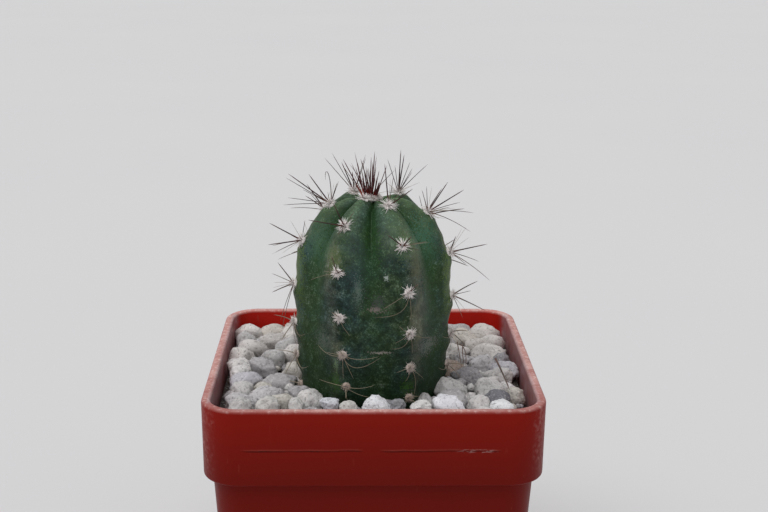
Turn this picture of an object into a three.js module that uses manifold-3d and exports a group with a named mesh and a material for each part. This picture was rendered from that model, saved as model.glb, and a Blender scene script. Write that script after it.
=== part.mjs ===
import * as THREE from 'three';
import { mergeVertices } from 'three/addons/utils/BufferGeometryUtils.js';
import Module from 'manifold-3d';

// A young ribbed cactus in a small square plastic pot, top-dressed with pumice gravel.
// Millimetres, +Z up. The origin is on the bench under the middle of the pot; the front is -Y.

// The moulded pot
const POT_HEIGHT = 50;
const RIM_HALF_WIDTH = 27.5;
const RIM_CORNER_RADIUS = 6.2;
const COLLAR_HEIGHT = 12.7;
const COLLAR_TAPER = 0.15;
const STEP_IN = 1.35;
const BODY_TAPER = 0.0625;
const BODY_CORNER_RADIUS = 5.2;
const FOOT_CORNER_RADIUS = 4.6;
const WALL = 1.2;
const LIP_WIDTH = 1.5;
const EDGE_ROUNDING = 0.45;
const DRAIN_RADIUS = 1.7;
const DRAIN_OFFSET = 13;
const DRAIN_SIDES = 10;
const CORNER_STEPS = 6;
const MERGE_TOLERANCE = 1e-4;

// The filling: compost below, a bed of gravel above it
const SEAT_GAP = 0.35;
const BED_TOP = 45.3;
const STONE_MIN = 1.6;
const STONE_MAX = 3.1;
const STONE_TOP_LIMIT = 48.5;
const STONE_SEED = 20;
const STONE_TRIES = 2600;
const STONE_PACKING = 0.8;
const STONE_MARGIN = 0.8;
const SMALLEST_SHARE = 0.55;
const CORNER_ZONE = 5;
const CORNER_LIMIT = 6.5;
const STONE_FLATNESS = { from: 0.62, spread: 0.25 };
const STONE_LENGTH = { from: 0.95, spread: 0.3 };
const STONE_RISE = { from: 0.35, spread: 0.5 };
const STONE_SWELL = { from: 0.86, spread: 0.26 };
const STONE_TILT = 0.9;
const FRONT_STONES = [
  { x: -7.2, y: -20.3, size: 1.6, top: 49.6 },
  { x: -4.2, y: -20.6, size: 1.5, top: 48.9 },
  { x: 0.6, y: -20.4, size: 2.4, top: 49.5 },
  { x: 3.9, y: -20.2, size: 1.4, top: 49.1 },
  { x: 7.6, y: -20.6, size: 1.7, top: 49 },
  { x: 12, y: -19.8, size: 2.6, top: 49.7 },
  { x: 20.8, y: -20.2, size: 2, top: 49.1 },
  { x: -12.4, y: -20.4, size: 1.8, top: 49 },
  { x: -16.8, y: -19.6, size: 2.2, top: 49.1 },
  { x: -21.4, y: -20, size: 2, top: 49.2 },
];

// The stem. Its crest line runs from the apex down to the root: radius and height.
const STEM_CENTRE = new THREE.Vector2(0, -4.5);
const CREST_LINE = [
  [0, 78.2], [2.4, 78.9], [4.8, 79], [7.3, 78], [9.8, 75.8], [11.9, 72.4], [13, 68.4], [13.3, 63], [13.1, 56],
  [12.6, 50], [11.8, 45.4], [9.4, 40.2], [5.2, 34], [3, 30.6], [0, 30],
];
const RIB_ANGLES = [-24.4, 25, 78.1, 129.2, 180.3, 231.3, 282.4];
const RIB_LEANS = [-0.33, -0.2, 0.1, -0.12, 0.08, -0.1, 0.12];
const LEAN_HEIGHT = 62;
const DOME_HEIGHT = 12;
const FURROW_SHARPNESS = 2.2;
const SHARP_UNTIL = 14;
const SMOOTH_FROM = 26;
const CREST_BAND = 1 / 3;
const FURROW_DEPTHS = [
  [0, 0], [3, 1.3], [6, 2.2], [10, 2.5], [15, 2.1], [20, 1.6], [28, 1], [38, 0.7], [47, 0.3], [64, 0],
];
const DEEPEST_FURROW = 0.5;
const BUMP_RADIUS = 4;
const POINTS_PER_RIB = 6;
const FINE_RING_STEP = 1.9;
const COARSE_RING_STEP = 4.2;
const CHIN_HEIGHT = 0.4;
const NOTCH_DEPTH = 0.28;
const CHIN_OFFSET = 1.5;
const CHIN_WIDTH = 1.1;

// The areoles stand on the crests in a spiral: each rib's row starts 3/7 of a step below the last.
// The distances are those of the first rib's rows, from the apex.
const SPIRAL_STEP = 3 / 7;
const AREOLE_DISTANCES = [3.2, 10.8, 18.4, 25.7, 32, 37.5, 42.9];
const AREOLE_ROWS = AREOLE_DISTANCES.length - 1;
const LOWEST_AREOLE = 47;
const WOOL_RADIUS = 1.1;
const WOOL_HEIGHT = 0.9;
const CUSHION_RADIUS = 2.1;
const CUSHION_HEIGHT = 1.1;
const CUSHION_LIFT = 0.3;
const PAD_SIDES = 6;

// Spines. Each is its lean from the skin's normal and its direction round the areole, clockwise
// from straight up, in degrees, then its length and how far its tip sags.
const SPINE_RADIUS = 0.24;
const BRISTLE_RADIUS = 0.2;
const BRISTLE_LENGTH = 2.1;
const BRISTLES = 3;
const SPINE_CLEARANCE = 0.78;
const STEM_CLEARANCE = 0.55;
const STONE_CLEARANCE = 0.6;
const AIM_TRIES = 24;
const SWAY = 0.16;
const SWAY_GROWTH = 0.03;
const LENGTH_SPREAD = 0.2;
const ROOT_HEIGHT = 0.45;
const ROOTED_LENGTH = 1.5;
const NEEDLE_CHECKS = [0, 0.25, 0.5, 0.75, 1];
const STONE_SWELL_LIMIT = 1.2;
const SPINE_SEED = 7;
const FIRST_OLD_ROW = 3;
const YOUNG_SPINES = [
  [20, -20, 7.5, 0], [25, 40, 6.5, 0], [35, -105, 7.5, 0.4], [30, 110, 8, 0.4], [15, 170, 6, 0],
  [45, 10, 4.5, 0], [45, 170, 6.5, 0.6],
];
const MIDDLE_SPINES = [
  [12, 25, 6, 0], [30, -140, 7.5, 0.6], [50, 55, 4.5, 0.2], [38, 115, 6.5, 1], [45, -75, 5, 0.8],
];
const OLD_SPINES = [[55, 90, 6.6, 1.2], [55, -95, 6.2, 1.2], [45, 140, 4.8, 0.8], [40, -40, 4.2, 0.8]];
const FRONT_SPINES = {
  crown: [[31, -106, 7.3, 0], [19, -95, 6, 0], [17, -91, 7.8, 0], [40, -145, 7, 0.3]],
  areole_rib2_row1: [[39, 3, 6.6, 0], [49, 86, 5, 0], [79, -48, 3.1, 0], [36, 20, 5, 0], [60, 60, 3.5, 0]],
  areole_rib3_row1: [
    [15, -25, 6.5, 0], [15, -150, 7.5, 0], [35, -160, 8.5, 1.2], [55, -160, 8, 1.8], [58, -10, 4, 0],
    [30, 150, 6, 0.4],
  ],
  areole_rib4_row1: [
    [20, -20, 7.5, 0], [20, -45, 7, 0], [35, -105, 7.5, 0.3], [25, 0, 5, 0], [35, 15, 6, 0],
    [30, 110, 7, 0.3],
  ],
  areole_rib6_row1: [
    [24, 173, 5.4, 0], [14, -148, 3.6, 0], [41, 156, 7.9, 0], [31, 164, 7.3, 0], [20, -30, 6.5, 0],
    [35, -100, 7, 0.3],
  ],
  areole_rib7_row1: [
    [30, -134, 8.2, 0], [21, -92, 6, 0], [36, -143, 8.2, 0], [57, -160, 7.5, 0.4], [33, -5, 5.2, 0],
    [56, -9, 4.1, 0],
  ],
  areole_rib1_row2: [[10, 25, 6, 0], [30, -140, 8, 0], [45, 60, 4, 0], [50, 175, 3, 0.3]],
  areole_rib2_row2: [[15, 25, 3, 0], [55, -60, 4.5, 0], [15, 125, 6.5, 0.2], [55, 120, 3, 0.2]],
  areole_rib3_row2: [
    [10, -70, 6.5, 0], [55, -5, 3, 0], [40, -145, 8.5, 1.4], [45, -150, 3.5, 0.3], [30, 150, 5, 0.6],
  ],
  areole_rib7_row2: [
    [10, 25, 6.5, 0], [25, 155, 6, 0], [40, 160, 5, 0.4], [75, 10, 3.5, 0], [35, -150, 5, 0.4],
  ],
  areole_rib1_row3: [[40, 5, 4.5, 0], [60, -115, 5.5, 1.2], [60, 60, 2.5, 0.3]],
  areole_rib2_row3: [[50, -130, 5, 0.6], [60, 30, 2.5, 0.3], [65, 175, 4, 0.6]],
  areole_rib3_row3: [[40, -10, 5.5, 0.6], [25, -125, 6.5, 0.3], [60, -145, 4, 0.5], [20, -25, 3.5, 0]],
  areole_rib7_row3: [[55, 0, 4.5, 0], [20, 135, 4, 0.3], [60, 150, 5, 2], [30, 20, 4.5, 0.2]],
};
const CROWN_SPINES = 20;
const CROWN_LENGTH = 7.5;
const CROWN_LEAN = 27;
const CROWN_TAPER = 1.4;
const CROWN_ROOTS = 0.65;
const CROWN_SHIFT = -0.6;
const BRISTLE_LEAN = 63;
const FULL_TURN = 360;

const wasm = await Module();
wasm.setup();

// Solids

function toSolid(geometry) {
  const bare = geometry.clone();
  bare.deleteAttribute('normal');
  bare.deleteAttribute('uv');
  const merged = mergeVertices(bare, MERGE_TOLERANCE);
  const corners = merged.getIndex().array;
  const kept = [];
  for (let i = 0; i < corners.length; i += 3) {
    const [a, b, c] = corners.slice(i, i + 3);
    if (a !== b && b !== c && c !== a) {
      kept.push(a, b, c);
    }
  }
  const vertProperties = new Float32Array(merged.getAttribute('position').array);
  return new wasm.Manifold(new wasm.Mesh({ numProp: 3, vertProperties, triVerts: new Uint32Array(kept) }));
}

function toMesh(name, solid, colour, roughness) {
  const { vertProperties, triVerts } = solid.getMesh();
  const geometry = new THREE.BufferGeometry();
  geometry.setAttribute('position', new THREE.BufferAttribute(vertProperties, 3));
  geometry.setIndex(new THREE.BufferAttribute(triVerts, 1));
  geometry.computeVertexNormals();
  const material = new THREE.MeshStandardMaterial({ color: colour, roughness, metalness: 0 });
  const mesh = new THREE.Mesh(geometry, material);
  mesh.name = name;
  return mesh;
}

function largestPiece(solid) {
  const pieces = solid.decompose();
  pieces.sort((a, b) => b.volume() - a.volume());
  return pieces[0];
}

function makeRandom(seed) {
  const factor = 1664525;
  const increment = 1013904223;
  const range = 2 ** 32;
  let state = seed;
  return () => {
    state = (state * factor + increment) % range;
    return state / range;
  };
}

function interpolate(table, at) {
  const above = table.findIndex(([key]) => key > at);
  const next = above < 0 ? table.length - 1 : Math.max(1, above);
  const [fromKey, fromValue] = table[next - 1];
  const [toKey, toValue] = table[next];
  const share = THREE.MathUtils.clamp((at - fromKey) / (toKey - fromKey), 0, 1);
  return THREE.MathUtils.lerp(fromValue, toValue, share);
}

// Pot and filling: turned profiles whose rings are rounded squares

function squareTurn(rings) {
  const sides = 4 * (CORNER_STEPS + 1);
  const profile = rings.map(({ halfWidth, z }) => new THREE.Vector2(halfWidth, z));
  const geometry = new THREE.LatheGeometry(profile, sides);
  const position = geometry.getAttribute('position');
  for (let i = 0; i < position.count; i += 1) {
    const { halfWidth, z, corner } = rings[i % rings.length];
    const side = Math.floor(i / rings.length) % sides;
    const quarter = Math.floor(side / (CORNER_STEPS + 1));
    const turn = (quarter + (side % (CORNER_STEPS + 1)) / CORNER_STEPS) * Math.PI / 2;
    const diagonal = (quarter + 0.5) * Math.PI / 2;
    const reach = (halfWidth - corner) * Math.SQRT2;
    const x = reach * Math.sin(diagonal) + corner * Math.sin(turn);
    const y = -reach * Math.cos(diagonal) - corner * Math.cos(turn);
    position.setXYZ(i, x, y, z);
  }
  return toSolid(geometry);
}

const COLLAR_BOTTOM = POT_HEIGHT - COLLAR_HEIGHT;
const COLLAR_HALF_WIDTH = RIM_HALF_WIDTH - COLLAR_TAPER;
const BODY_HALF_WIDTH = COLLAR_HALF_WIDTH - STEP_IN;
const FOOT_HALF_WIDTH = BODY_HALF_WIDTH - BODY_TAPER * COLLAR_BOTTOM;
const LEDGE_HEIGHT = COLLAR_BOTTOM + WALL;
const INNER_HALF_WIDTH = RIM_HALF_WIDTH - LIP_WIDTH;

function makePot() {
  const innerCorner = RIM_CORNER_RADIUS - LIP_WIDTH;
  const roundedCorner = RIM_CORNER_RADIUS - EDGE_ROUNDING;
  const body = squareTurn([
    { halfWidth: 0, z: 0, corner: 0 },
    { halfWidth: FOOT_HALF_WIDTH - EDGE_ROUNDING, z: 0, corner: FOOT_CORNER_RADIUS - EDGE_ROUNDING },
    { halfWidth: FOOT_HALF_WIDTH, z: EDGE_ROUNDING, corner: FOOT_CORNER_RADIUS },
    { halfWidth: BODY_HALF_WIDTH, z: COLLAR_BOTTOM, corner: BODY_CORNER_RADIUS },
    { halfWidth: COLLAR_HALF_WIDTH - EDGE_ROUNDING, z: COLLAR_BOTTOM, corner: roundedCorner },
    { halfWidth: COLLAR_HALF_WIDTH, z: COLLAR_BOTTOM + EDGE_ROUNDING, corner: RIM_CORNER_RADIUS },
    { halfWidth: RIM_HALF_WIDTH, z: POT_HEIGHT - EDGE_ROUNDING, corner: RIM_CORNER_RADIUS },
    { halfWidth: RIM_HALF_WIDTH - EDGE_ROUNDING, z: POT_HEIGHT, corner: roundedCorner },
    { halfWidth: INNER_HALF_WIDTH + EDGE_ROUNDING, z: POT_HEIGHT, corner: innerCorner + EDGE_ROUNDING },
    { halfWidth: INNER_HALF_WIDTH, z: POT_HEIGHT - EDGE_ROUNDING, corner: innerCorner },
    { halfWidth: INNER_HALF_WIDTH - COLLAR_TAPER, z: LEDGE_HEIGHT, corner: innerCorner },
    { halfWidth: BODY_HALF_WIDTH - WALL, z: LEDGE_HEIGHT, corner: BODY_CORNER_RADIUS - WALL },
    { halfWidth: FOOT_HALF_WIDTH - WALL, z: WALL, corner: FOOT_CORNER_RADIUS - WALL },
    { halfWidth: 0, z: WALL, corner: 0 },
  ]);
  return [-1, 1].flatMap((x) => [-1, 1].map((y) => [x, y])).reduce((pot, [x, y]) => {
    const drain = new THREE.CylinderGeometry(DRAIN_RADIUS, DRAIN_RADIUS, 4 * WALL, DRAIN_SIDES);
    drain.rotateX(Math.PI / 2);
    drain.translate(x * DRAIN_OFFSET, y * DRAIN_OFFSET, 0);
    return pot.subtract(toSolid(drain));
  }, body);
}

function makeSoil(stemHole) {
  const top = BODY_HALF_WIDTH - WALL - SEAT_GAP;
  const foot = FOOT_HALF_WIDTH - WALL - SEAT_GAP;
  const block = squareTurn([
    { halfWidth: 0, z: WALL + SEAT_GAP, corner: 0 },
    { halfWidth: foot, z: WALL + SEAT_GAP, corner: FOOT_CORNER_RADIUS - WALL },
    { halfWidth: top, z: LEDGE_HEIGHT, corner: BODY_CORNER_RADIUS - WALL },
    { halfWidth: 0, z: LEDGE_HEIGHT, corner: 0 },
  ]);
  return block.subtract(stemHole);
}

// The stem: a turned crest line whose rings sink into furrows between the ribs

const crestCurve = new THREE.SplineCurve(CREST_LINE.map(([radius, z]) => new THREE.Vector2(radius, z)));
const CREST_LENGTH = crestCurve.getLength();
const CREST_SAMPLES = 400;
const SUNKEN_APEX_SAMPLES = 30;
const crestSamples = crestCurve.getSpacedPoints(CREST_SAMPLES);

function crestPoint(distance) {
  return crestCurve.getPointAt(THREE.MathUtils.clamp(distance / CREST_LENGTH, 0, 1));
}

function distanceAtHeight(z) {
  const sample = crestSamples.findIndex((point, i) => i > SUNKEN_APEX_SAMPLES && point.y < z);
  return (sample < 0 ? CREST_SAMPLES : sample) * CREST_LENGTH / CREST_SAMPLES;
}

function ribAngle(rib, z) {
  const count = RIB_ANGLES.length;
  const turns = Math.floor(rib / count);
  const index = rib - turns * count;
  const lean = RIB_LEANS[index] * (z - LEAN_HEIGHT);
  return THREE.MathUtils.degToRad(RIB_ANGLES[index] + lean + FULL_TURN * turns);
}

function areoleDistance(rib, row) {
  return THREE.MathUtils.lerp(AREOLE_DISTANCES[row], AREOLE_DISTANCES[row + 1], (rib * SPIRAL_STEP) % 1);
}

function chinBump(rib, distance) {
  let bump = 0;
  for (let row = 0; row < AREOLE_ROWS; row += 1) {
    const offset = distance - areoleDistance(rib, row);
    const chin = Math.exp(-(((offset - CHIN_OFFSET) / CHIN_WIDTH) ** 2));
    const notch = Math.exp(-(((offset + CHIN_OFFSET) / CHIN_WIDTH) ** 2));
    bump += CHIN_HEIGHT * chin - NOTCH_DEPTH * notch;
  }
  return bump;
}

// The ribs are fat and the furrows between them sharp near the top, and both fade lower down.
function skinAt(ribPosition, distance) {
  const rib = Math.round(ribPosition);
  const fromCrest = Math.abs(ribPosition - rib);
  const sharp = (2 * fromCrest) ** FURROW_SHARPNESS;
  const smooth = Math.sin(Math.PI * fromCrest) ** 2;
  const blend = THREE.MathUtils.clamp((distance - SHARP_UNTIL) / (SMOOTH_FROM - SHARP_UNTIL), 0, 1);
  const fall = THREE.MathUtils.lerp(sharp, smooth, blend);
  const crest = crestPoint(distance);
  const furrow = Math.min(interpolate(FURROW_DEPTHS, distance), DEEPEST_FURROW * crest.x);
  const bump = Math.min(1, crest.x / BUMP_RADIUS) * chinBump(rib % RIB_ANGLES.length, distance);
  const offset = bump * Math.max(0, 1 - fromCrest / CREST_BAND) - furrow * fall;
  const heading = crestCurve.getTangentAt(THREE.MathUtils.clamp(distance / CREST_LENGTH, 0, 1));
  return { radius: Math.max(0, crest.x - offset * heading.y), height: crest.y + offset * heading.x };
}

function ribPositionAt(angle, z) {
  const count = RIB_ANGLES.length;
  const start = ribAngle(0, z);
  const turned = start + THREE.MathUtils.euclideanModulo(angle - start, 2 * Math.PI);
  let rib = 0;
  while (rib < count - 1 && ribAngle(rib + 1, z) <= turned) {
    rib += 1;
  }
  return rib + (turned - ribAngle(rib, z)) / (ribAngle(rib + 1, z) - ribAngle(rib, z));
}

function stemRings() {
  const groundDistance = distanceAtHeight(BED_TOP);
  const rings = [0, FINE_RING_STEP / 2];
  for (let distance = FINE_RING_STEP; distance < groundDistance; distance += FINE_RING_STEP) {
    rings.push(distance);
  }
  const lastRing = CREST_LENGTH - FINE_RING_STEP;
  for (let distance = groundDistance; distance < lastRing; distance += COARSE_RING_STEP) {
    rings.push(distance);
  }
  rings.push(CREST_LENGTH);
  return rings.reverse();
}

function makeStem(growth) {
  const rings = stemRings();
  const sides = RIB_ANGLES.length * POINTS_PER_RIB;
  const profile = rings.map((distance) => crestPoint(distance));
  const geometry = new THREE.LatheGeometry(profile, sides);
  const position = geometry.getAttribute('position');
  for (let i = 0; i < position.count; i += 1) {
    const ring = i % rings.length;
    const side = Math.floor(i / rings.length) % sides;
    const ribPosition = side / POINTS_PER_RIB;
    const { x: crest, y: crestHeight } = profile[ring];
    const skin = skinAt(ribPosition, rings[ring]);
    const radius = crest < MERGE_TOLERANCE ? 0 : skin.radius + growth;
    const lower = Math.floor(ribPosition);
    const share = ribPosition - lower;
    const angle = THREE.MathUtils.lerp(ribAngle(lower, crestHeight), ribAngle(lower + 1, crestHeight), share);
    const domeShare = THREE.MathUtils.clamp((crestHeight - LEAN_HEIGHT) / DOME_HEIGHT, 0, 1);
    const lift = growth * (ring === 0 ? -1 : domeShare);
    const x = STEM_CENTRE.x + radius * Math.sin(angle);
    const y = STEM_CENTRE.y - radius * Math.cos(angle);
    position.setXYZ(i, x, y, skin.height + lift);
  }
  return toSolid(geometry);
}

// Gravel: faceted pebbles packed by darts and sunk in a bed

function placeStones(areoles) {
  const random = makeRandom(STONE_SEED);
  const draw = ({ from, spread }) => from + spread * random();
  const edge = INNER_HALF_WIDTH - COLLAR_TAPER - SEAT_GAP;
  const stemEdge = crestPoint(distanceAtHeight(BED_TOP)).x;
  const stones = FRONT_STONES.map((stone) => ({ ...stone }));
  for (let i = 0; i < STONE_TRIES; i += 1) {
    const share = 1 - i / STONE_TRIES;
    const spread = SMALLEST_SHARE + (1 - SMALLEST_SHARE) * random();
    const size = STONE_MIN + (STONE_MAX - STONE_MIN) * share * spread;
    const x = (2 * random() - 1) * (edge - STONE_MARGIN * size);
    const y = (2 * random() - 1) * (edge - STONE_MARGIN * size);
    const fromStem = Math.hypot(x - STEM_CENTRE.x, y - STEM_CENTRE.y);
    const apart = stones.every((other) => (
      Math.hypot(x - other.x, y - other.y) > STONE_PACKING * (size + other.size)));
    const inward = edge - CORNER_ZONE;
    const cornerReach = Math.max(0, Math.abs(x) - inward) + Math.max(0, Math.abs(y) - inward);
    if (apart && fromStem > stemEdge + SMALLEST_SHARE * size && cornerReach < CORNER_LIMIT) {
      stones.push({ x, y, size });
    }
  }
  stones.forEach((stone) => {
    stone.flatness = draw(STONE_FLATNESS);
    stone.length = draw(STONE_LENGTH);
    stone.turn = Math.PI * random();
    stone.tilt = STONE_TILT * (random() - 0.5);
    const height = stone.size * stone.flatness;
    const settled = Math.min(BED_TOP + draw(STONE_RISE) * stone.size, STONE_TOP_LIMIT - height);
    stone.z = stone.top ? stone.top - height : settled;
  });
  return stones.filter((stone) => areoles.every(({ centre }) => (
    centre.distanceTo(new THREE.Vector3(stone.x, stone.y, stone.z)) > stone.size + WOOL_RADIUS + SEAT_GAP)));
}

function makeGravel(stemHole, stones) {
  const halfWidth = INNER_HALF_WIDTH - COLLAR_TAPER - SEAT_GAP;
  const corner = RIM_CORNER_RADIUS - LIP_WIDTH;
  const bottom = LEDGE_HEIGHT + SEAT_GAP;
  const slab = (top) => squareTurn([
    { halfWidth: 0, z: bottom, corner: 0 },
    { halfWidth, z: bottom, corner },
    { halfWidth, z: top, corner },
    { halfWidth: 0, z: top, corner: 0 },
  ]);
  const random = makeRandom(STONE_SEED + 1);
  const bed = stones.reduce((joined, stone) => {
    const pebble = new THREE.IcosahedronGeometry(1, 0);
    const merged = mergeVertices(pebble.deleteAttribute('normal').deleteAttribute('uv'), MERGE_TOLERANCE);
    const position = merged.getAttribute('position');
    for (let i = 0; i < position.count; i += 1) {
      const swell = STONE_SWELL.from + STONE_SWELL.spread * random();
      position.setXYZ(i, position.getX(i) * swell, position.getY(i) * swell, position.getZ(i) * swell);
    }
    merged.scale(stone.size * stone.length, stone.size / stone.length, stone.size * stone.flatness);
    merged.rotateY(stone.tilt);
    merged.rotateZ(stone.turn);
    merged.translate(stone.x, stone.y, stone.z);
    return joined.add(toSolid(merged));
  }, slab(BED_TOP));
  return largestPiece(bed.intersect(slab(POT_HEIGHT)).subtract(stemHole));
}

// Areoles: a pad of wool on the crest with a fan of spines and bristles

function findAreoles() {
  const areoles = [];
  for (let row = 0; row < AREOLE_ROWS; row += 1) {
    RIB_ANGLES.forEach((_, rib) => {
      const distance = areoleDistance(rib, row);
      const { y: z } = crestPoint(distance);
      const angle = ribAngle(rib, z);
      const { radius, height } = skinAt(rib, distance);
      const outward = new THREE.Vector3(Math.sin(angle), -Math.cos(angle), 0);
      const tangent = crestCurve.getTangentAt(distance / CREST_LENGTH);
      const normal = outward.clone().multiplyScalar(-tangent.y).setZ(tangent.x).normalize();
      const across = new THREE.Vector3(Math.cos(angle), Math.sin(angle), 0);
      const upward = new THREE.Vector3().crossVectors(normal, across).normalize();
      const centre = new THREE.Vector3(STEM_CENTRE.x, STEM_CENTRE.y, height).addScaledVector(outward, radius);
      if (z > LOWEST_AREOLE) {
        areoles.push({ rib, row, centre, normal, across, upward });
      }
    });
  }
  return areoles;
}

function needlePoint(needle, share) {
  return needle.base.clone()
    .addScaledVector(needle.aim, needle.length * share)
    .addScaledVector(needle.sag, share * share);
}

function makeNeedle(needle, radius) {
  const steps = needle.sag.length() > 0 ? 2 : 1;
  const geometry = new THREE.ConeGeometry(radius, 1, 3, steps);
  const position = geometry.getAttribute('position');
  const sideways = new THREE.Vector3(0, 0, 1).cross(needle.aim);
  sideways.add(new THREE.Vector3(MERGE_TOLERANCE, 0, 0)).normalize();
  const third = new THREE.Vector3().crossVectors(sideways, needle.aim).normalize();
  for (let i = 0; i < position.count; i += 1) {
    const point = needlePoint(needle, position.getY(i) + 0.5);
    point.addScaledVector(sideways, position.getX(i)).addScaledVector(third, position.getZ(i));
    position.setXYZ(i, point.x, point.y, point.z);
  }
  return toSolid(geometry);
}

function isClearOfStem(point) {
  const z = point.z - STEM_CLEARANCE;
  if (z > CREST_LINE[1][1]) {
    return true;
  }
  const x = point.x - STEM_CENTRE.x;
  const y = point.y - STEM_CENTRE.y;
  const surface = skinAt(ribPositionAt(Math.atan2(x, -y), z), distanceAtHeight(z));
  return Math.hypot(x, y) - STEM_CLEARANCE > surface.radius;
}

function segmentGap(a, b, c, d) {
  const ray = new THREE.Ray();
  const length = b.distanceTo(a);
  ray.set(a, b.clone().sub(a).normalize());
  const onRay = new THREE.Vector3();
  const onSegment = new THREE.Vector3();
  ray.distanceSqToSegment(c, d, onRay, onSegment);
  const along = THREE.MathUtils.clamp(onRay.sub(a).dot(ray.direction), 0, length);
  const nearest = a.clone().addScaledVector(ray.direction, along);
  const segment = new THREE.Line3(c, d);
  return segment.closestPointToPoint(nearest, true, onSegment).distanceTo(nearest);
}

function makeSpinePlanner(areoles, stones) {
  const placed = [];
  return (owner, needle) => {
    const points = NEEDLE_CHECKS.map((share) => needlePoint(needle, share));
    const free = points.filter((point) => point.distanceTo(needle.base) > ROOTED_LENGTH);
    const fits = free.every((point) => isClearOfStem(point) && point.z > BED_TOP + STONE_CLEARANCE);
    const clearOfStones = stones.every((stone) => points.every((point) => {
      const gap = Math.hypot(point.x - stone.x, point.y - stone.y, point.z - stone.z);
      return gap > STONE_SWELL_LIMIT * stone.size + STONE_CLEARANCE;
    }));
    const clearOfPads = areoles.every((other) => other.name === owner || points.slice(1).every((point, i) => (
      new THREE.Line3(points[i], point).closestPointToPoint(other.centre, true, new THREE.Vector3())
        .distanceTo(other.centre) > WOOL_RADIUS + SPINE_CLEARANCE)));
    const clearOfSpines = placed.every((other) => other.owner === owner || (
      points.slice(1).every((point, i) => other.points.slice(1).every((end, j) => (
        segmentGap(points[i], point, other.points[j], end) > SPINE_CLEARANCE)))));
    if (!fits || !clearOfStones || !clearOfPads || !clearOfSpines) {
      return false;
    }
    placed.push({ owner, points });
    return true;
  };
}

function aimNeedle(areole, [lean, clock, length, sag], random, spread) {
  const sway = () => spread * (random() - 0.5);
  const tilt = THREE.MathUtils.degToRad(lean);
  const turn = THREE.MathUtils.degToRad(clock);
  const aim = new THREE.Vector3()
    .addScaledVector(areole.normal, Math.cos(tilt) + sway())
    .addScaledVector(areole.upward, Math.sin(tilt) * Math.cos(turn) + sway())
    .addScaledVector(areole.across, Math.sin(tilt) * Math.sin(turn) + sway())
    .normalize();
  const base = areole.centre.clone().addScaledVector(areole.normal, ROOT_HEIGHT);
  const grown = length * (1 + LENGTH_SPREAD * (random() - 0.5));
  return { base, aim, length: grown, sag: new THREE.Vector3(0, 0, -sag) };
}

function makePad(areole, radius, height) {
  const pad = new THREE.SphereGeometry(1, PAD_SIDES, PAD_SIDES / 2 + 1);
  pad.scale(radius, radius, height);
  const turn = new THREE.Quaternion().setFromUnitVectors(new THREE.Vector3(0, 0, 1), areole.normal);
  pad.applyQuaternion(turn);
  pad.translate(areole.centre.x, areole.centre.y, areole.centre.z);
  return toSolid(pad);
}

function spinesOf({ name, row }) {
  const plain = row < FIRST_OLD_ROW ? MIDDLE_SPINES : OLD_SPINES;
  return FRONT_SPINES[name] ?? (row === 0 ? YOUNG_SPINES : plain);
}

function growNeedle(areole, spine, radius, random, fits) {
  for (let attempt = 0; attempt < AIM_TRIES; attempt += 1) {
    const needle = aimNeedle(areole, spine, random, SWAY + SWAY_GROWTH * attempt);
    if (fits(areole.name, needle)) {
      return [makeNeedle(needle, radius)];
    }
  }
  return [];
}

function makeAreole(areole, random, fits, stemHole) {
  const spines = spinesOf(areole).flatMap((spine) => (
    growNeedle(areole, spine, SPINE_RADIUS, random, fits)));
  const bristles = [];
  for (let i = 0; i < BRISTLES; i += 1) {
    const bristle = [BRISTLE_LEAN, (i + 0.5) / BRISTLES * FULL_TURN, BRISTLE_LENGTH, 0];
    bristles.push(...growNeedle(areole, bristle, BRISTLE_RADIUS, random, fits));
  }
  const pad = makePad(areole, WOOL_RADIUS, WOOL_HEIGHT);
  const tuft = [...spines, ...bristles].reduce((joined, needle) => joined.add(needle), pad);
  return largestPiece(tuft.subtract(stemHole));
}

function makeCrown(youngest, random, fits, stemHole) {
  const apex = {
    name: youngest.name,
    centre: new THREE.Vector3(STEM_CENTRE.x + CROWN_SHIFT, STEM_CENTRE.y, CREST_LINE[0][1] + CUSHION_LIFT),
    normal: new THREE.Vector3(0, 0, 1),
    across: new THREE.Vector3(1, 0, 0),
    upward: new THREE.Vector3(0, 1, 0),
  };
  const spines = [];
  for (let i = 0; i < CROWN_SPINES; i += 1) {
    const turn = i * Math.PI * (3 - Math.sqrt(5));
    const ring = Math.sqrt((i + 0.5) / CROWN_SPINES);
    const root = CROWN_ROOTS * CUSHION_RADIUS * ring;
    const clock = THREE.MathUtils.radToDeg(turn);
    const spine = [CROWN_LEAN * ring, clock, CROWN_LENGTH - CROWN_TAPER * ring, 0];
    const rooted = { ...apex, centre: apex.centre.clone() };
    rooted.centre.addScaledVector(apex.upward, root * Math.cos(turn));
    rooted.centre.addScaledVector(apex.across, root * Math.sin(turn));
    spines.push(...growNeedle(rooted, spine, SPINE_RADIUS, random, fits));
  }
  spines.push(...spinesOf(youngest).flatMap((spine) => (
    growNeedle(youngest, spine, SPINE_RADIUS, random, fits))));
  const cushion = makePad(apex, CUSHION_RADIUS, CUSHION_HEIGHT);
  const wool = cushion.add(makePad(youngest, WOOL_RADIUS, WOOL_HEIGHT));
  return largestPiece(spines.reduce((joined, needle) => joined.add(needle), wool).subtract(stemHole));
}

// The whole plant in its pot

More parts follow.
